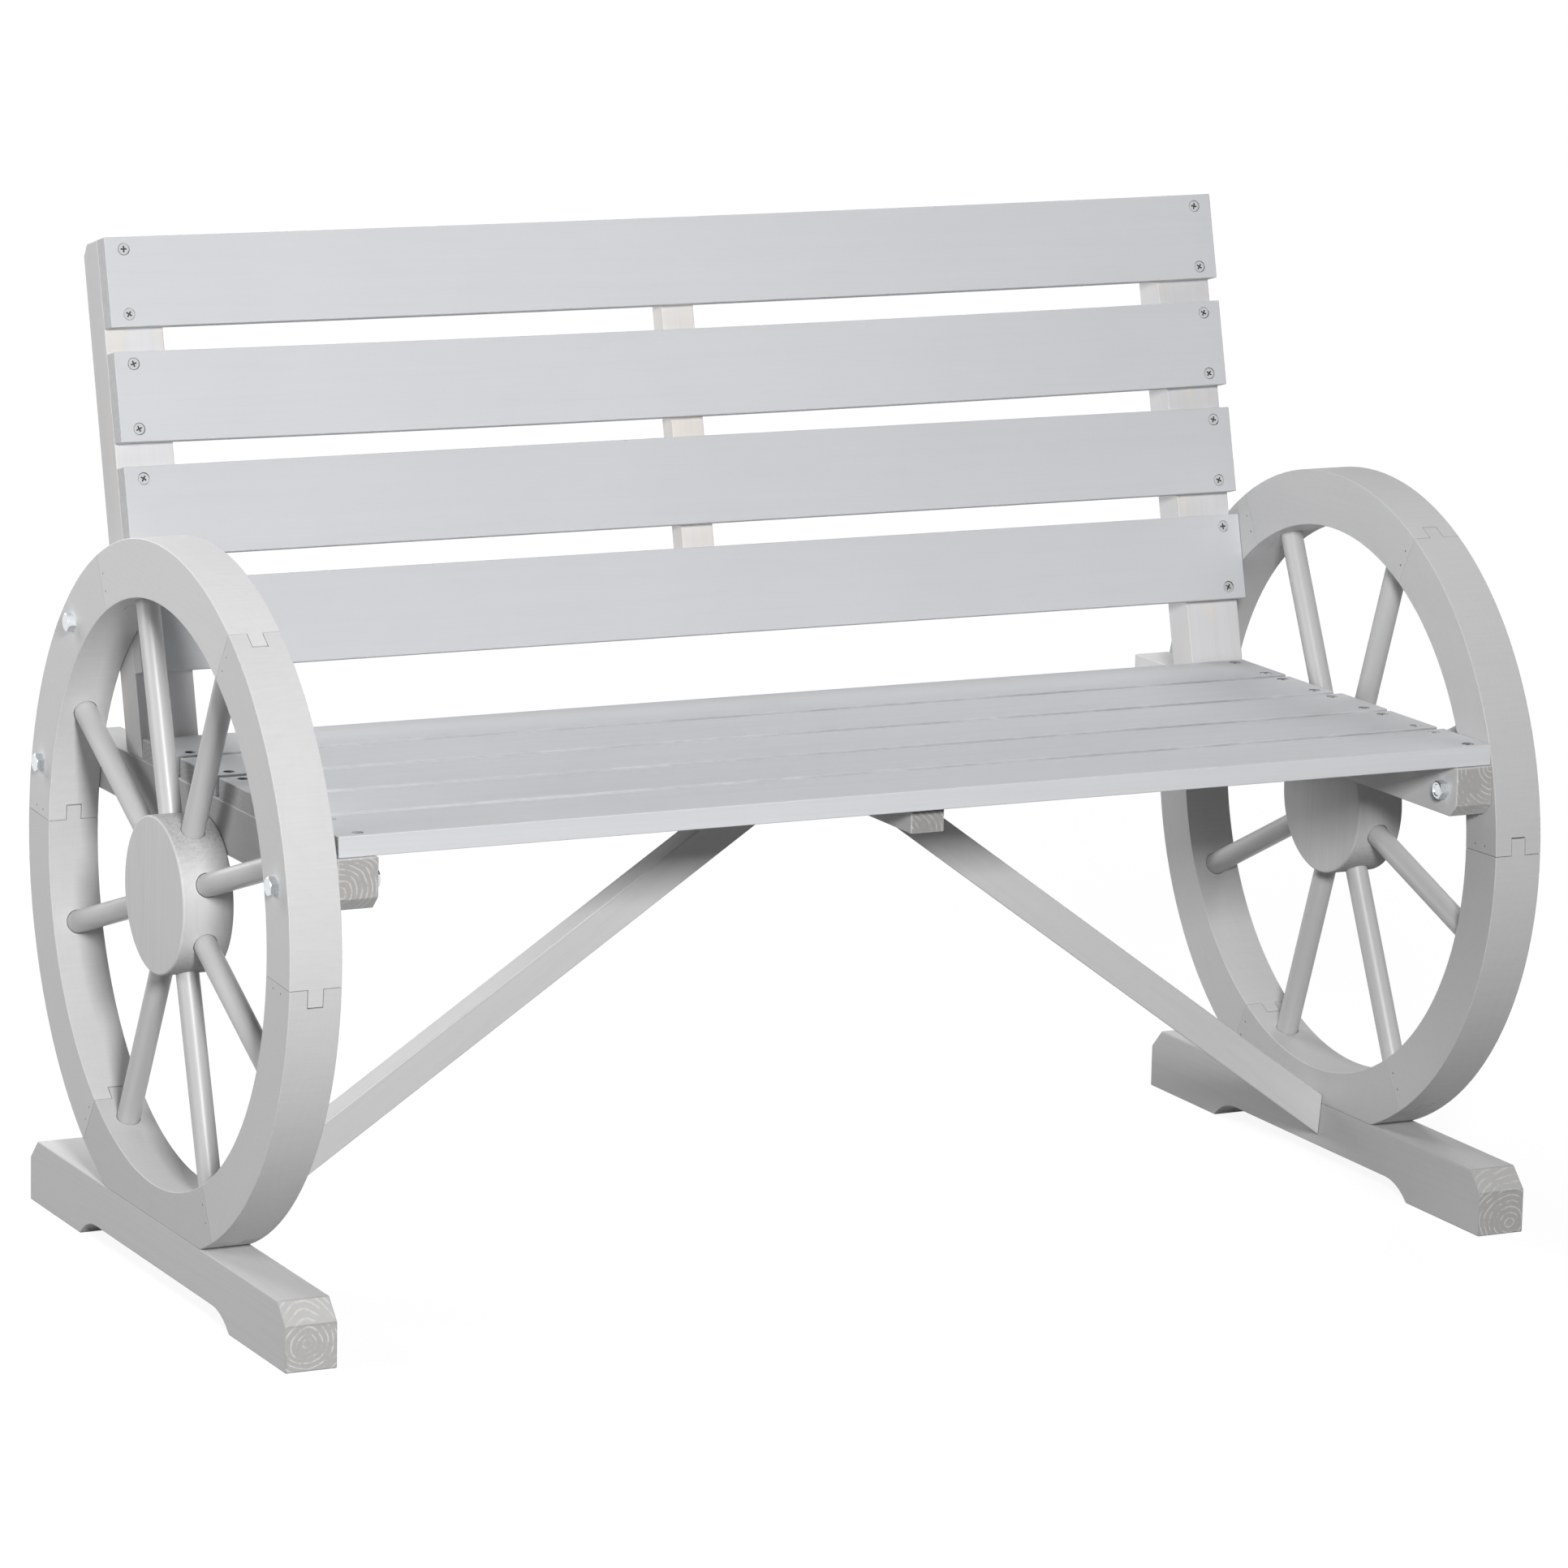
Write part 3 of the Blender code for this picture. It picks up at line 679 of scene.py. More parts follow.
def merged_copy(name):
    """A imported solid's mesh with its doubled points merged."""
    bm = bmesh.new()
    bm.from_mesh(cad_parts[name].data)
    bmesh.ops.remove_doubles(bm, verts=bm.verts, dist=WELD)
    return bm


def whole_timber(name):
    """A straight timber as sawn, before its holes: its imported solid's hull, one face to each flat."""
    bm = merged_copy(name)
    bmesh.ops.delete(bm, geom=bm.edges[:], context="EDGES_FACES")
    bmesh.ops.convex_hull(bm, input=bm.verts[:])
    bmesh.ops.delete(bm, geom=[vert for vert in bm.verts if not vert.link_faces], context="VERTS")
    bmesh.ops.dissolve_limit(bm, angle_limit=FLAT_WITHIN, verts=bm.verts[:], edges=bm.edges[:])
    bmesh.ops.recalc_face_normals(bm, faces=bm.faces[:])
    return bm


def longest_run(bm):
    """The direction of a timber's longest edge."""
    edge = max(bm.edges, key=lambda edge: edge.calc_length())
    return (edge.verts[1].co - edge.verts[0].co).normalized()


def ease(bm, radius, edges=None):
    """Round over the sharp edges of a piece, and remember which faces that made."""
    layer = bm.faces.layers.float.new("eased")
    bm.normal_update()
    if edges is None:
        edges = [edge for edge in bm.edges if edge.calc_face_angle(0.0) > EASE_OVER]
    for face in bm.faces:
        face.smooth = False
    made = bmesh.ops.bevel(
        bm,
        geom=edges,
        offset=radius,
        offset_type="OFFSET",
        segments=EASE_SEGMENTS,
        profile=0.5,
        affect="EDGES",
        clamp_overlap=True,
        material=-1,
    )
    for face in made["faces"]:
        face.smooth = True
        face[layer] = 1.0


def facing(place, direction):
    """A matrix that stands a shape at a place, along a direction."""
    return Matrix.Translation(place) @ UP.rotation_difference(direction).to_matrix().to_4x4()


def rod(bm, start, end, radius, sides, end_radius=None):
    """Add a round rod or a cone between two points."""
    start, end = Vector(start), Vector(end)
    bmesh.ops.create_cone(
        bm,
        cap_ends=True,
        segments=sides,
        radius1=radius,
        radius2=radius if end_radius is None else end_radius,
        depth=(end - start).length,
        matrix=facing((start + end) / 2, end - start),
    )


def smooth_sides(bm):
    """Shade a rod's sides smoothly and leave its ends flat."""
    for face in bm.faces:
        face.smooth = len(face.verts) == 4


# Wheels

# Spokes: how far they fill their mortises, how far a mortise's tool starts outside, and the angle
# by which a spoke may pass a felloe's end and still cut into it
SPOKE_SEAT = 0.7
MORTISE_MOUTH = 0.006
SPOKE_MARGIN = 0.05

# Nails: how far along the tongue, where across the rim, and how deep in their holes
NAIL_ASIDE = 0.48
NAIL_REACHES = (-0.0085, 0.0055)
NAIL_HOLE_DEPTH = 0.0012
NAIL_DEPTHS = (0.0011, 0.00015)
NAIL_FIT = 0.9
TOOL_PAST = 0.001


def around(radius, angle, x=0.0):
    """A point round the axle, in a wheel's own frame."""
    return Vector((x, radius * math.cos(angle), radius * math.sin(angle)))


class Wheel:
    """One wheel's place, turn and sizes. Angles run from the rear over the top on the left wheel."""

    def __init__(self, side):
        sizes = bpy.context.scene.bench_wheels
        hub_low, hub_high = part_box(f"{side}_hub")
        spoke_low, spoke_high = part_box(f"{side}_spoke_1")
        tops = [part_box(f"{side}_felloe_{index + 1}")[1].z for index in range(FELLOES)]
        turn = 0.0 if side == "left" else math.pi
        self.middle = (hub_low + hub_high) / 2
        self.half = (hub_high.x - hub_low.x) / 2
        self.radius = max(tops) - self.middle.z
        self.inner = self.radius - sizes.rim_depth
        self.mean = self.radius - sizes.rim_depth / 2
        self.hub_radius = (hub_high.z - hub_low.z) / 2
        self.spoke_radius = (spoke_high.x - spoke_low.x) / 2
        self.roll = sizes.left_roll if side == "left" else sizes.right_roll
        self.matrix = Matrix.Translation(self.middle) @ Matrix.Rotation(turn, 4, "Z")

    def joint(self, index):
        """The angle at which a felloe starts."""
        return self.roll + math.tau * index / FELLOES

    def spoke_angle(self, index):
        """The angle of a spoke."""
        return self.roll + bpy.context.scene.bench_wheels.first_spoke + math.tau * index / SPOKES

    def radial(self, angle):
        """The direction away from the axle at an angle."""
        return self.matrix.to_3x3() @ around(1.0, angle)

    def hang(self, bm):
        """Put a shape from the wheel's own frame in its place on the bench."""
        bmesh.ops.transform(bm, matrix=self.matrix, verts=bm.verts[:])

    def drill(self, bm, index, start, end):
        """Add a spoke's mortise, from one distance to another, to a cutting tool."""
        sizes = bpy.context.scene.bench_wheels
        angle = self.spoke_angle(index)
        radius = self.spoke_radius + sizes.mortise_clearance
        rod(bm, around(start, angle), around(end, angle), radius, sizes.spoke_sides)


def sweep(bm, faces, angle, steps):
    """Extrude faces round the wheel's axle and return those at the far end."""
    for _ in range(steps):
        edges = list(dict.fromkeys(edge for face in faces for edge in face.edges))
        grown = bmesh.ops.extrude_face_region(bm, geom=faces + edges)["geom"]
        faces = [part for part in grown if isinstance(part, bmesh.types.BMFace)]
        verts = list(dict.fromkeys(vert for face in faces for vert in face.verts))
        bmesh.ops.rotate(bm, verts=verts, cent=(0, 0, 0), matrix=Matrix.Rotation(angle / steps, 3, "X"))
    return faces


def felloe(wheel, first, last):
    """One arc of the rim with a tongue at its far end and a matching slot at its near end."""
    sizes = bpy.context.scene.bench_wheels
    tongue = sizes.tongue_length / wheel.mean
    slot = (sizes.tongue_length + sizes.joint_gap) / wheel.mean
    half, key = wheel.half, sizes.tongue_width / 2
    cheek = key + sizes.joint_gap
    bm = bmesh.new()
    rows = []
    for radius in (wheel.inner, wheel.radius):
        levels = (-half, -cheek, -key, key, cheek, half)
        rows.append([bm.verts.new(around(radius, first + slot, x)) for x in levels])
    near = []
    for i in range(len(rows[0]) - 1):
        near.append(bm.faces.new((rows[0][i], rows[0][i + 1], rows[1][i + 1], rows[1][i])))
    far = sweep(bm, near, last - first - slot, sizes.felloe_steps)
    middle = min(far, key=lambda face: abs(face.calc_center_median().x))
    sweep(bm, [middle], tongue, 1)
    sweep(bm, [near[0], near[-1]], -slot, 1)
    bmesh.ops.recalc_face_normals(bm, faces=bm.faces[:])
    return bm


def on_rim_edge(edge, half):
    """True for an edge that runs round the rim at one of its four corners."""
    first, second = (vert.co for vert in edge.verts)
    outside = abs(abs(first.x) - half) < WELD and abs(abs(second.x) - half) < WELD
    same_reach = abs(first.yz.length - second.yz.length) < WELD
    return outside and same_reach


def plane_flat(bm, drop):
    """Plane the rim's flat where it stands on the foot."""
    everything = bm.verts[:] + bm.edges[:] + bm.faces[:]
    bmesh.ops.bisect_plane(
        bm, geom=everything, dist=WELD, plane_co=(0, 0, -drop), plane_no=(0, 0, -1), clear_outer=True
    )
    open_edges = [edge for edge in bm.edges if edge.is_boundary]
    bmesh.ops.holes_fill(bm, edges=open_edges, sides=0)


def within(angle, first, last):
    """True if an angle lies between two others."""
    return (angle - first) % math.tau < last - first


def nail_spots(wheel):
    """The places of the nails over each joint, on both faces of a wheel: (angle, point, outward)."""
    aside = NAIL_ASIDE * bpy.context.scene.bench_wheels.tongue_length / wheel.mean
    for index in range(FELLOES):
        angle = wheel.joint(index) + aside
        for reach in NAIL_REACHES:
            for out in (-ALONG_X, ALONG_X):
                yield angle, around(wheel.mean + reach, angle, out.x * wheel.half), out


def rim_tool(wheel, first, last):
    """The spokes' mortises and the nails' holes of one felloe."""
    sizes = bpy.context.scene.bench_wheels
    bm = bmesh.new()
    for index in range(SPOKES):
        if within(wheel.spoke_angle(index) + SPOKE_MARGIN, first, last + 2 * SPOKE_MARGIN):
            wheel.drill(bm, index, wheel.inner - MORTISE_MOUTH, wheel.inner + sizes.mortise_depth)
    for angle, point, out in nail_spots(wheel):
        if within(angle, first, last):
            bottom = point - out * NAIL_HOLE_DEPTH
            rod(bm, bottom, point + out * TOOL_PAST, sizes.nail_radius, FACETS["nail"])
    wheel.hang(bm)
    return bm


def felloe_stock(wheel, name, angle):
    """The timber of one felloe, sawn along its chord from any side of the heart."""
    luck = random.Random(name)
    turn = luck.uniform(0.0, math.tau)
    heart = Vector((math.cos(turn), math.sin(turn))) * luck.uniform(*FELLOE_HEART)
    lean = [luck.uniform(*span) for span in FELLOE_LEAN]
    radial = wheel.radial(angle)
    return Stock(wheel.matrix @ around(wheel.mean, angle), radial.cross(ALONG_X), radial, heart, lean)


class BENCH_OT_felloes(bpy.types.Operator):
    """Build the felloes of both rims with their joints, mortises and flats"""

    bl_idname = "bench.felloes"
    bl_label = "Felloes"

    def execute(self, context):
        sizes = context.scene.bench_wheels
        for side in SIDES:
            wheel = Wheel(side)
            gap = sizes.joint_gap / wheel.mean / 2
            for index in range(FELLOES):
                first, last = wheel.joint(index) + gap, wheel.joint(index + 1) - gap
                bm = felloe(wheel, first, last)
                ease(bm, sizes.rim_ease, [edge for edge in bm.edges if on_rim_edge(edge, wheel.half)])
                for face in bm.faces:
                    face.smooth = abs(face.normal.x) < NEARLY_SQUARE
                if min(vert.co.z for vert in bm.verts) < -sizes.flat_drop:
                    plane_flat(bm, sizes.flat_drop)
                wheel.hang(bm)
                name = f"{side}_felloe_{index + 1}"
                stock = felloe_stock(wheel, name, (first + last) / 2)
                tool = rim_tool(wheel, first, last)
                wooden(name, bm, stock, "rims", tool, FELLOE_TONES_AND_LIGHT[side][index])
        return {"FINISHED"}


class BENCH_OT_spokes(bpy.types.Operator):
    """Turn the dowel spokes of both wheels"""

    bl_idname = "bench.spokes"
    bl_label = "Spokes"

    def execute(self, context):
        sizes = context.scene.bench_wheels
        inset = SPOKE_SEAT * sizes.mortise_depth
        for side in SIDES:
            wheel = Wheel(side)
            for index in range(SPOKES):
                name = f"{side}_spoke_{index + 1}"
                angle = wheel.spoke_angle(index)
                start = around(wheel.hub_radius - inset, angle)
                end = around(wheel.inner + inset, angle)
                bm = bmesh.new()
                rod(bm, start, end, wheel.spoke_radius, sizes.spoke_sides)
                smooth_sides(bm)
                wheel.hang(bm)
                middle = wheel.matrix @ ((start + end) / 2)
                stock = grown_stock(name, middle, wheel.radial(angle), ALONG_X, SPOKE_GROWTH)
                wooden(name, bm, stock, "spokes")
        return {"FINISHED"}


class BENCH_OT_hubs(bpy.types.Operator):
    """Turn the two disc hubs and drill them for the spokes"""

    bl_idname = "bench.hubs"
    bl_label = "Hubs"

    def execute(self, context):
        sizes = context.scene.bench_wheels
        for side in SIDES:
            wheel = Wheel(side)
            bm = bmesh.new()
            rod(bm, (-wheel.half, 0, 0), (wheel.half, 0, 0), wheel.hub_radius, FACETS["hub"])
            ease(bm, sizes.hub_ease)
            smooth_sides(bm)
            wheel.hang(bm)
            tool = bmesh.new()
            bottom = wheel.hub_radius - sizes.mortise_depth
            for index in range(SPOKES):
                wheel.drill(tool, index, bottom, wheel.hub_radius + MORTISE_MOUTH)
            wheel.hang(tool)
            stock = Stock(wheel.middle, UP, ALONG_Y, HUB_HEART, HUB_LEAN)
            wooden(f"{side}_hub", bm, stock, "hubs", tool, HUB_TONES_AND_LIGHT[side])
        return {"FINISHED"}


class BENCH_OT_nails(bpy.types.Operator):
    """Sink the nails over the felloes' joints"""

    bl_idname = "bench.nails"
    bl_label = "Joint nails"

    def execute(self, context):
        radius = NAIL_FIT * context.scene.bench_wheels.nail_radius
        for side in SIDES:
            wheel = Wheel(side)
            bm = bmesh.new()
            for _, point, out in nail_spots(wheel):
                bottom, top = (point - out * depth for depth in NAIL_DEPTHS)
                rod(bm, bottom, top, radius, FACETS["nail"])
            wheel.hang(bm)
            declare(new_object(f"{side}_joint_nails", bm), metal("nail_steel"), "zinc")
        return {"FINISHED"}


# Frame


def foot_outline(name):
    """A foot drawn out from its packed side: one face, then its width."""
    bm = merged_copy(name)
    bm.normal_update()
    others = [face for face in bm.faces if face.normal.x < NEARLY_SQUARE]
    bmesh.ops.delete(bm, geom=others, context="FACES")
    bmesh.ops.dissolve_faces(bm, faces=bm.faces[:])
    low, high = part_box(name)
    side = bm.faces[:]
    grown = bmesh.ops.extrude_face_region(bm, geom=side + bm.edges[:], use_keep_orig=True)["geom"]
    verts = [part for part in grown if isinstance(part, bmesh.types.BMVert)]
    bmesh.ops.translate(bm, verts=verts, vec=(low.x - high.x, 0, 0))
    bmesh.ops.recalc_face_normals(bm, faces=bm.faces[:])
    return bm


class BENCH_OT_feet(bpy.types.Operator):
    """Shape the two long feet that the wheels stand on"""

    bl_idname = "bench.feet"
    bl_label = "Feet"

    def execute(self, context):
        for side in SIDES:
            name = f"{side}_foot"
            bm = foot_outline(name)
            ease(bm, context.scene.bench_timber.frame_ease)
            stock = Stock(box_middle(name), ALONG_Y, -ALONG_X, FOOT_HEARTS[side], FOOT_LEAN)
            made = wooden(name, bm, stock, "feet", tone=FOOT_TONES_AND_LIGHT[side])
            # Painted light on the top faces
            retone(made, UP, FOOT_TOP_LIGHT)
            # Painted shade on the eased edges
            shade_edges(made, FOOT_EDGE_SHADE)
        return {"FINISHED"}


class BENCH_OT_bearers(bpy.types.Operator):
    """Shape the bearers under the seat"""

    bl_idname = "bench.bearers"
    bl_label = "Seat bearers"

    def execute(self, context):
        for part, heart in BEARER_HEARTS.items():
            name = f"{part}_bearer"
            bm = whole_timber(name)
            ease(bm, context.scene.bench_timber.frame_ease)
            stock = Stock(box_middle(name), ALONG_Y, -ALONG_X, heart, BEARER_LEAN)
            made = wooden(name, bm, stock, "timber")
            # Painted shade on the front end
            retone(made, -ALONG_Y, BEARER_FRONT_SHADE[part])
            # Painted shade and light on the side that faces left
            retone(made, -ALONG_X, BEARER_LEFT_SIDE_SHADE_AND_LIGHT[part])
        return {"FINISHED"}


class BENCH_OT_uprights(bpy.types.Operator):
    """Shape the raked uprights behind the back slats"""

    bl_idname = "bench.uprights"
    bl_label = "Back uprights"

    def execute(self, context):
        for part, tone in UPRIGHT_TONES.items():
            name = f"{part}_upright"
            bm = whole_timber(name)
            along = longest_run(bm)
            ease(bm, context.scene.bench_timber.frame_ease)
            stock = grown_stock(name, box_middle(name), along, ALONG_X, BOARD_GROWTH)
            made = wooden(name, bm, stock, "centre" if part == "centre" else "uprights", tone=tone)
            # Painted shade on the side that faces left
            retone(made, -ALONG_X, UPRIGHT_LEFT_SIDE_SHADE[part])
        return {"FINISHED"}


class BENCH_OT_braces(bpy.types.Operator):
    """Shape the two braces from the feet up to the middle of the seat"""

    bl_idname = "bench.braces"
    bl_label = "Braces"

    def execute(self, context):
        for side in SIDES:
            name = f"{side}_brace"
            bm = whole_timber(name)
            along = longest_run(bm)
            ease(bm, context.scene.bench_timber.frame_ease)
            stock = grown_stock(name, box_middle(name), along, along.cross(ALONG_Y), BOARD_GROWTH)
            wooden(name, bm, stock, "timber")
        return {"FINISHED"}


# Slats

# How much each slat falls short at its ends, and sags in its middle
RIGHT_TRIMS = (0.0, 0.0015, 0.0, 0.0035, 0.0020)
LEFT_TRIMS = (0.0015, 0.0, 0.0, 0.0, 0.0)
SAGS = (0.0, 0.0, 0.0027, 0.0017)

# Screw holes: a countersink's blunt tip, and the room under and beside a screw that was driven deep
SINK_TIP = 0.0002
SINK_UNDER = 0.0005
SINK_BORE = 0.92


def board_face(name, toward):
    """The middle of a board's show face, its outward direction and its half length."""
    bm = whole_timber(name)
    face = max(bm.faces, key=lambda face: face.normal.dot(toward) * face.calc_area())
    low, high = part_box(name)
    found = face.calc_center_median(), face.normal.copy(), (high.x - low.x) / 2
    bm.free()
    return found


def screw_spots(name, toward):
    """Where a slat's four screws go, how deep they were driven, and which way they face."""
    sizes = bpy.context.scene.bench_timber
    middle, out, half = board_face(name, toward)
    across = out.cross(ALONG_X)
    spots = []
    for end in (-1, 1):
        depth = sizes.left_sink if end < 0 and toward == UP else 0.0
        inset = sizes.screw_inset + (sizes.front_inset if end < 0 and name == "seat_slat_1" else 0.0)
        for edge in (-1, 1):
            aside = across * (edge * sizes.screw_spread / 2)
            spots.append((middle + ALONG_X * (end * (half - inset)) + aside, depth))
    return spots, out


def sink_tool(name, toward):
    """Countersinks for a slat's screws, or plain holes where they were driven deep."""
    radius = bpy.context.scene.bench_timber.sink_radius
    spots, out = screw_spots(name, toward)
    bm = bmesh.new()
    for spot, depth in spots:
        top = spot + out * TOOL_PAST
        if depth:
            rod(bm, spot - out * (depth + SINK_UNDER), top, SINK_BORE * radius, FACETS["sink"])
        else:
            tip = spot - out * (radius + SINK_TIP)
            rod(bm, tip, top, SINK_TIP, FACETS["sink"], radius + TOOL_PAST)
    return bm


def write_painted_shade(made, axes, gaps):
    """Darken the screws' holes, and the edges that face another slat, with painted shade."""
    mesh = made.data
    eased = mesh.attributes["eased"]
    marks = mesh.attributes.new("grime", "FLOAT", "CORNER")
    half = max(vertex.co.x for vertex in mesh.vertices)
    for index, face in enumerate(mesh.polygons):
        toward_gap = max((face.normal.dot(gap) for gap in gaps), default=0.0)
        square = max(abs(face.normal.dot(axis)) for axis in axes) > SQUARE_ON
        for corner in face.loop_indices:
            along = (mesh.vertices[mesh.loops[corner].vertex_index].co.x / half + 1) / 2
            if eased.data[index].value > MARKED:
                marks.data[corner].value = EDGE_SHADE * max(0.0, toward_gap)
            elif toward_gap > SQUARE_ON:
                marks.data[corner].value = GAP_SHADE[0] + along * (GAP_SHADE[1] - GAP_SHADE[0])
            else:
                marks.data[corner].value = 0.0 if square else 1.0


class BENCH_OT_seat_slats(bpy.types.Operator):
    """Plane and countersink the seat slats, whose ends don't quite line up"""

    bl_idname = "bench.seat_slats"
    bl_label = "Seat slats"

    def execute(self, context):
        for index in range(SEAT_SLATS):
            name = f"seat_slat_{index + 1}"
            bm = whole_timber(name)
            for end, trims in ((1, RIGHT_TRIMS), (-1, LEFT_TRIMS)):
                verts = [vert for vert in bm.verts if vert.co.x * end > 0]
                bmesh.ops.translate(bm, verts=verts, vec=(-end * trims[index], 0, 0))
            ease(bm, context.scene.bench_timber.slat_ease)
            stock = grown_stock(name, box_middle(name), ALONG_X, ALONG_Y, BOARD_GROWTH)
            made = wooden(name, bm, stock, "seat", sink_tool(name, UP), SEAT_TONES[index])
            # Painted shade in the gaps between slats and in the screw holes
            gaps = [-ALONG_Y] * (index > 0) + [ALONG_Y] * (index < SEAT_SLATS - 1)
            write_painted_shade(made, (ALONG_X, ALONG_Y, UP), gaps)
            # Darker ends: partly end grain, partly painted shade
            for end in (-ALONG_X, ALONG_X):
                retone(made, end, SLAT_END_GRAIN_AND_SHADE)
            # Painted light on the front face
            if index == 0:
                retone(made, -ALONG_Y, SEAT_FRONT_LIGHT)
        return {"FINISHED"}


def bow(bm, toward, sag):
    """Let the middle of a long board sag a little between its ends."""
    runs = [
        edge
        for edge in bm.edges
        if abs((edge.verts[1].co - edge.verts[0].co).normalized().x) > NEARLY_SQUARE
    ]
    bmesh.ops.subdivide_edges(bm, edges=runs, cuts=BOW_CUTS, use_grid_fill=True)
    half = max(vert.co.x for vert in bm.verts)
    for vert in bm.verts:
        vert.co += toward * (sag * (1.0 - (vert.co.x / half) ** 2))


class BENCH_OT_back_slats(bpy.types.Operator):
    """Plane and countersink the back slats"""

    bl_idname = "bench.back_slats"
    bl_label = "Back slats"

    def execute(self, context):
        for index in range(BACK_SLATS):
            name = f"back_slat_{index + 1}"
            _, out, _ = board_face(name, -ALONG_Y)
            across = out.cross(ALONG_X)
            bm = whole_timber(name)
            bow(bm, -across, SAGS[index])
            ease(bm, context.scene.bench_timber.slat_ease)
            stock = grown_stock(name, box_middle(name), ALONG_X, across, BOARD_GROWTH)
            made = wooden(name, bm, stock, "back", sink_tool(name, -ALONG_Y), BACK_TONES[index])
            # Painted shade in the screw holes
            write_painted_shade(made, (ALONG_X, out, across), [])
        return {"FINISHED"}


# Fasteners

# Slat screws: shares of the head's radius, the range that they were sunk by, and the slot of the painted
# shade in the recess
SCREW_HEAD_DEPTH = 0.55
SCREW_NECK = 0.45
SCREW_TIP = 0.3
SCREW_SUNK = (0.0003, 0.0007)
RECESS_SLOPE = -0.3
RECESS_SHADE_SLOT = 1

# Hexagons and bolts: shares of the flats, the nut's height, the bolt's radius and the bore's radius
HEXAGON_TOP = 0.475
BORE_END = 0.9
BORE_FLARE = (0.8, 1.1)
FLARE_RADIUS = 1.25
NUT_BORE = 1.06
BOLT_POINT = 0.0008
POINT_RADIUS = 0.82


def bar(size):
    """A bar round the origin."""
    bm = bmesh.new()
    bmesh.ops.create_cube(bm, size=1.0, matrix=Matrix.Diagonal((*size, 1.0)))
    return bm


def pattern_of(made):
    """An object's mesh, kept as a pattern without the object."""
    pattern = made.data
    bpy.data.objects.remove(made)
    return pattern


def add_pattern(bm, pattern, matrix):
    """Add a copy of a pattern mesh at a place."""
    before = len(bm.verts)
    bm.from_mesh(pattern)
    bm.verts.ensure_lookup_table()
    bmesh.ops.transform(bm, matrix=matrix, verts=bm.verts[before:])


def any_turn(luck):
    """A pattern turned by chance about its own axis."""
    return Matrix.Rotation(luck.uniform(0.0, math.tau), 4, "Z")


def cross_screw():
    """One countersunk screw with a cross recess, its head's face at the origin, pointing down."""
    sizes = bpy.context.scene.bench_fasteners
    radius = sizes.screw_radius
    neck = (0, 0, -SCREW_HEAD_DEPTH * radius)
    bm = bmesh.new()
    rod(bm, neck, (0, 0, 0), SCREW_NECK * radius, FACETS["screw_head"], radius)
    made = new_object("screw_pattern", bm)
    depth = 2 * sizes.recess_depth
    carve(made, bar((sizes.recess_span, sizes.recess_width, depth)))
    carve(made, bar((sizes.recess_width, sizes.recess_span, depth)))
    pattern = pattern_of(made)
    with opened(pattern) as bm:
        for face in bm.faces:
            if face.normal.z > RECESS_SLOPE and face.calc_center_median().z < -WELD:
                face.material_index = RECESS_SHADE_SLOT
        tip = (0, 0, -sizes.screw_length)
        rod(bm, tip, neck, SCREW_TIP * radius, FACETS["screw_shank"], SCREW_NECK * radius)
    return pattern


class BENCH_OT_slat_screws(bpy.types.Operator):
    """Drive the countersunk screws at the ends of the slats"""

    bl_idname = "bench.slat_screws"
    bl_label = "Slat screws"

    def execute(self, context):
        pattern = cross_screw()
        luck = random.Random("slat screws")
        for group, slats, toward in (("seat", SEAT_SLATS, UP), ("back", BACK_SLATS, -ALONG_Y)):
            bm = bmesh.new()
            for index in range(slats):
                spots, out = screw_spots(f"{group}_slat_{index + 1}", toward)
                for spot, depth in spots:
                    sunk = spot - out * (depth + luck.uniform(*SCREW_SUNK))
                    add_pattern(bm, pattern, facing(sunk, out) @ any_turn(luck))
            made = plated(f"{group}_screws", bm, "screws_plate")
            # Dark steel in the cross recess: painted shade
            made.data.materials.append(metal("nail_steel"))
        bpy.data.meshes.remove(pattern)
        return {"FINISHED"}


def hexagon(flats, height, bore=0.0):
    """A chamfered hexagon standing on the origin: a bolt's head, or a nut where it has a bore."""
    bm = bmesh.new()
    rod(bm, (0, 0, 0), (0, 0, height), flats / math.sqrt(3), 6)
    made = new_object("hexagon_pattern", bm)
    chamfer = bmesh.new()
    top = HEXAGON_TOP * flats
    foot = top + 2 * height * math.sqrt(3)
    rod(chamfer, (0, 0, -height), (0, 0, height), foot, FACETS["hexagon_chamfer"], top)
    carve(made, chamfer, "INTERSECT")
    if bore:
        tool = bmesh.new()
        low, high = ((0, 0, share * height) for share in BORE_FLARE)
        rod(tool, (0, 0, -height), (0, 0, BORE_END * height), bore, FACETS["nut_bore"])
        rod(tool, low, high, bore, FACETS["nut_bore"], FLARE_RADIUS * bore)
        carve(made, tool)
    pattern = pattern_of(made)
    with opened(pattern) as bm:
        bmesh.ops.dissolve_degenerate(bm, dist=WELD, edges=bm.edges[:])
    return pattern


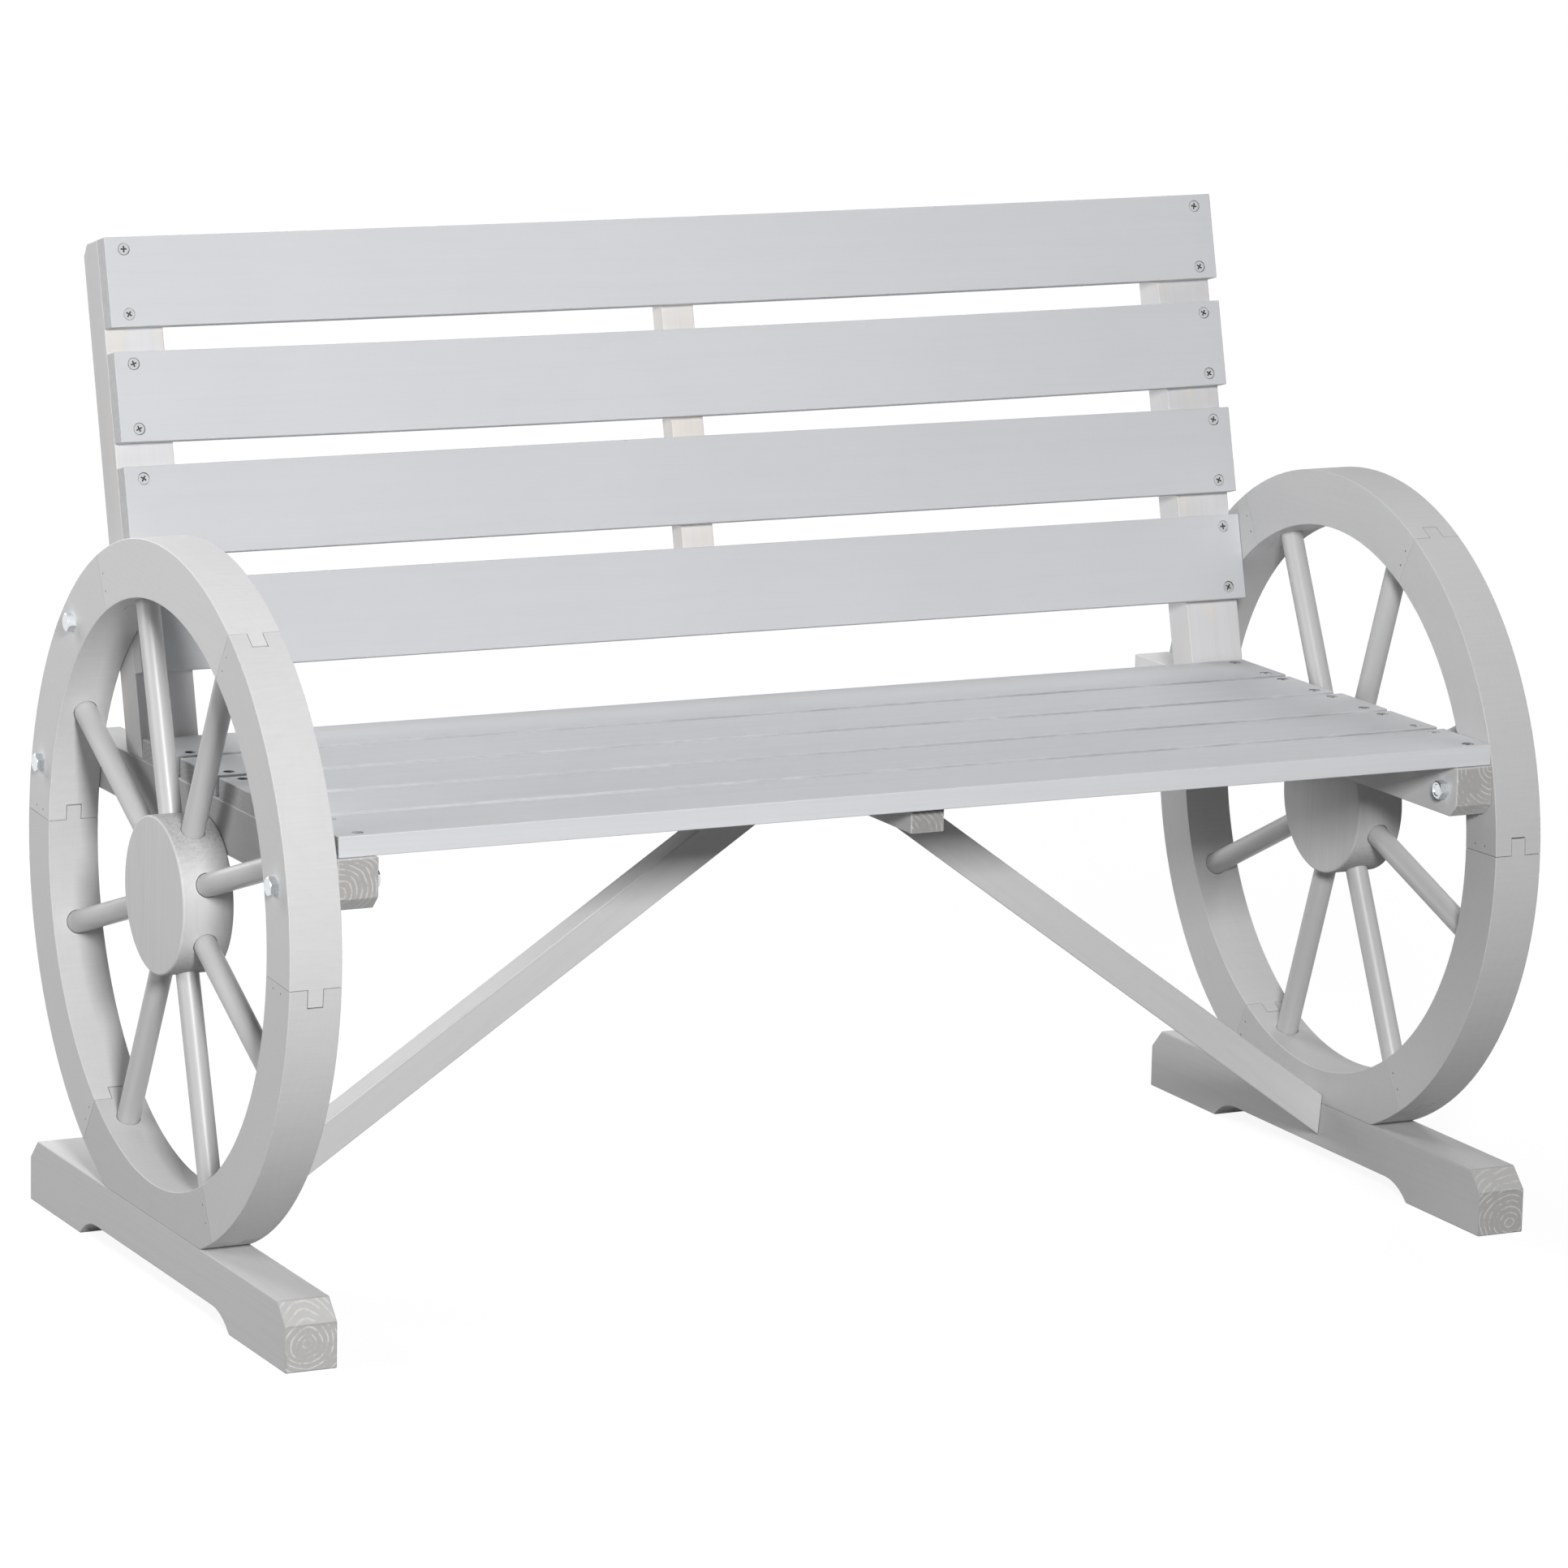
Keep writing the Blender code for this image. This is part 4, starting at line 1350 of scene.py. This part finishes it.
class BENCH_OT_bolts(bpy.types.Operator):
    """Fit the hexagon bolts and their nuts through the rims"""

    bl_idname = "bench.bolts"
    bl_label = "Bolts and nuts"

    def execute(self, context):
        sizes = context.scene.bench_fasteners
        radius = sizes.bolt_radius
        head = hexagon(sizes.head_flats, sizes.head_height)
        nut = hexagon(sizes.head_flats, sizes.nut_height, NUT_BORE * radius)
        for side in SIDES:
            out = OUTWARD[side]
            wheel = Wheel(side)
            for place in ("back", "front", "rear"):
                name = f"{side}_{place}_bolt"
                low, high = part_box(name)
                middle = (low + high) / 2
                if place == "back":
                    middle += UP * sizes.back_lift
                rim = Vector((wheel.middle.x, middle.y, middle.z)) + out * wheel.half
                tail = middle - out * ((high.x - low.x) / 2)
                tip = tail + out * sizes.tip_recess
                point = tip + out * BOLT_POINT
                luck = random.Random(name)
                bm = bmesh.new()
                add_pattern(bm, head, facing(rim, out) @ any_turn(luck))
                add_pattern(bm, nut, facing(tail + out * sizes.nut_height, -out) @ any_turn(luck))
                rod(bm, rim, point, radius, FACETS["bolt"])
                rod(bm, point, tip, radius, FACETS["bolt"], POINT_RADIUS * radius)
                plated(f"{name}_zinc", bm, "zinc_plate", name)
        bpy.data.meshes.remove(head)
        bpy.data.meshes.remove(nut)
        return {"FINISHED"}


class BENCH_OT_foot_screws(bpy.types.Operator):
    """Drive the hexagon screws from under the feet into the rims"""

    bl_idname = "bench.foot_screws"
    bl_label = "Foot screws"

    def execute(self, context):
        sizes = context.scene.bench_fasteners
        head = hexagon(sizes.foot_flats, sizes.foot_head)
        for side in SIDES:
            for place in ("front", "rear"):
                name = f"{side}_foot_screw_{place}"
                low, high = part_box(name)
                middle = (low + high) / 2
                seat = Vector((middle.x, middle.y, low.z + sizes.foot_head))
                bm = bmesh.new()
                add_pattern(bm, head, facing(seat, -UP))
                rod(bm, seat, (middle.x, middle.y, high.z), sizes.foot_shank, FACETS["foot_screw"])
                plated(f"{name}_zinc", bm, "zinc_plate", name)
        bpy.data.meshes.remove(head)
        return {"FINISHED"}


# Stage

CAMERA_PLACE = Vector((-2.44382, -4.90243, 1.47303))
CAMERA_YAW = math.radians(26.4865)
CAMERA_PITCH = math.radians(11.5815)
CAMERA_ROLL = math.radians(1.2159)
CAMERA_LENS = 163.34
CAMERA_SENSOR = 36.0
CAMERA_REACH = 200.0

# Floor: its size, its speckle, how white it shows near and far, and how much light it sends back
FLOOR_SIZE = 60.0
FLOOR_SPECKLE = (3.0, 3.0, 2.0, 0.5)
FLOOR_TONES = ((0.93, 0.93, 0.93), (0.95, 0.95, 0.95))
FLOOR_LEVELS = (1.0, 4.0, 1.06, 1.16)
FLOOR_WHITENESS = 0.86
FLOOR_BOUNCE = (0.2, 0.2, 0.2, 1.0)
WHITE = (1.0, 1.0, 1.0, 1.0)

# Lamps: name, place, aim, size in metres and power in watts
LAMPS = (
    ("key_lamp", (-1.2, -3.5, 1.75), (0.0, 0.0, 0.4), 0.55, 130.0),
    ("left_lamp", (-2.2, 0.0, 0.9), (-0.5, 0.0, 0.4), 0.9, 11.5),
    ("top_lamp", (-0.2, 0.8, 2.6), (0.0, 0.0, 0.4), 1.0, 11.7),
    ("right_lamp", (1.5, 0.3, 2.2), (0.4, 0.0, 0.5), 0.8, 7.2),
    ("rear_lamp", (-1.0, 2.5, 1.6), (0.0, 0.0, 0.4), 1.6, 51.0),
)
WORLD_LEVEL = 0.0525


def aim_camera():
    """The camera at the photograph's viewing angle."""
    data = bpy.data.cameras.new("bench_camera")
    data.sensor_width = CAMERA_SENSOR
    data.lens = CAMERA_LENS
    data.clip_end = CAMERA_REACH
    made = linked("bench_camera", data)
    ahead = Vector(
        (
            math.sin(CAMERA_YAW) * math.cos(CAMERA_PITCH),
            math.cos(CAMERA_YAW) * math.cos(CAMERA_PITCH),
            -math.sin(CAMERA_PITCH),
        )
    )
    level = Vector((math.cos(CAMERA_YAW), -math.sin(CAMERA_YAW), 0.0))
    raised = level.cross(ahead)
    right = math.cos(CAMERA_ROLL) * level + math.sin(CAMERA_ROLL) * raised
    top = math.cos(CAMERA_ROLL) * raised - math.sin(CAMERA_ROLL) * level
    turn = Matrix((right, top, -ahead)).transposed().to_4x4()
    made.matrix_world = Matrix.Translation(CAMERA_PLACE) @ turn
    bpy.context.scene.camera = made


def seen_plainly(tree):
    """1 for the rays that show the floor or the background itself, 0 for those that light the bench."""
    path = node(tree, "ShaderNodeLightPath").outputs
    seen = math_node(tree, "MAXIMUM", path["Is Camera Ray"], path["Is Glossy Ray"])
    return math_node(tree, "MAXIMUM", seen, path["Is Transmission Ray"])


def shader(tree, kind, inputs=None):
    """What a shader sends out."""
    return node(tree, kind, inputs).outputs[0]


def blended(tree, factor, first, second):
    """Two shaders mixed."""
    return shader(tree, "ShaderNodeMixShader", {0: factor, 1: first, 2: second})


def pale_floor():
    """A white floor with a light shadow, which lights less than it shows and is clear from below."""
    made = bpy.data.materials.new("pale_floor")
    tree = cleared(made)
    place = object_place(tree)
    tone = mixed(tree, noise(tree, place, FLOOR_SPECKLE), *FLOOR_TONES)
    away = node(tree, "ShaderNodeVectorMath", {0: place}, operation="LENGTH").outputs["Value"]
    level = ranged(tree, away, *FLOOR_LEVELS)
    shadowed = shader(tree, "ShaderNodeBsdfDiffuse", {"Color": tone})
    white = shader(tree, "ShaderNodeEmission", {"Color": WHITE, "Strength": level})
    shown = blended(tree, FLOOR_WHITENESS, shadowed, white)
    bounce = shader(tree, "ShaderNodeBsdfDiffuse", {"Color": FLOOR_BOUNCE})
    both = blended(tree, seen_plainly(tree), bounce, shown)
    below = node(tree, "ShaderNodeNewGeometry").outputs["Backfacing"]
    both = blended(tree, below, both, shader(tree, "ShaderNodeBsdfTransparent"))
    node(tree, "ShaderNodeOutputMaterial", {"Surface": both})
    return made


def studio_world():
    """Even soft light from all round, seen as white."""
    world = bpy.data.worlds.new("studio")
    tree = cleared(world)
    soft = shader(tree, "ShaderNodeBackground", {"Color": WHITE, "Strength": WORLD_LEVEL})
    white = shader(tree, "ShaderNodeBackground", {"Color": WHITE, "Strength": 1.0})
    node(tree, "ShaderNodeOutputWorld", {"Surface": blended(tree, seen_plainly(tree), soft, white)})
    bpy.context.scene.world = world


def soft_box(name, place, aim, size, power):
    """A large soft lamp aimed at a point."""
    data = bpy.data.lights.new(name, "AREA")
    data.shape = "SQUARE"
    data.size = size
    data.energy = power
    made = linked(name, data)
    made.location = place
    made.rotation_mode = "QUATERNION"
    made.rotation_quaternion = (Vector(aim) - Vector(place)).to_track_quat("-Z", "Y")
    made.visible_camera = False


class BENCH_OT_stage(bpy.types.Operator):
    """Set up the camera, the floor and the studio light"""

    bl_idname = "bench.stage"
    bl_label = "Stage"

    def execute(self, context):
        context.scene.view_settings.view_transform = "Standard"
        aim_camera()
        bm = bmesh.new()
        bmesh.ops.create_grid(bm, x_segments=1, y_segments=1, size=FLOOR_SIZE / 2)
        floor = new_object("floor", bm)
        floor.data.materials.append(pale_floor())
        studio_world()
        for lamp in LAMPS:
            soft_box(*lamp)
        return {"FINISHED"}


# Panel and registration

GROUPS = {
    "bench_timber": BenchTimber,
    "bench_wheels": BenchWheels,
    "bench_fasteners": BenchFasteners,
    "bench_finish": BenchFinish,
}
BUILD_STEPS = (
    BENCH_OT_stage,
    BENCH_OT_felloes,
    BENCH_OT_spokes,
    BENCH_OT_hubs,
    BENCH_OT_nails,
    BENCH_OT_feet,
    BENCH_OT_bearers,
    BENCH_OT_uprights,
    BENCH_OT_braces,
    BENCH_OT_seat_slats,
    BENCH_OT_back_slats,
    BENCH_OT_slat_screws,
    BENCH_OT_bolts,
    BENCH_OT_foot_screws,
)


class BENCH_PT_panel(bpy.types.Panel):
    """Lists the bench's build steps and its sizes"""

    bl_idname = "BENCH_PT_panel"
    bl_label = "Wagon Wheel Bench"
    bl_space_type = "VIEW_3D"
    bl_region_type = "UI"
    bl_category = "Bench"

    def draw(self, context):
        for step in BUILD_STEPS:
            self.layout.operator(step.bl_idname)
        for group, kind in GROUPS.items():
            box = self.layout.box()
            for name in kind.__annotations__:
                box.prop(getattr(context.scene, group), name)


CLASSES = (*GROUPS.values(), *BUILD_STEPS, BENCH_PT_panel)


def register():
    """Add the classes, and the sizes and colours to the scene."""
    for kind in CLASSES:
        bpy.utils.register_class(kind)
    for name, kind in GROUPS.items():
        setattr(bpy.types.Scene, name, PointerProperty(type=kind))


def unregister():
    """Take the sizes, the colours and the classes away again."""
    for name in GROUPS:
        delattr(bpy.types.Scene, name)
    for kind in reversed(CLASSES):
        bpy.utils.unregister_class(kind)


def main():
    """Build the whole bench on its stage."""
    register()
    for step in BUILD_STEPS:
        group, name = step.bl_idname.split(".")
        getattr(getattr(bpy.ops, group), name)()


if __name__ == "__main__":
    main()
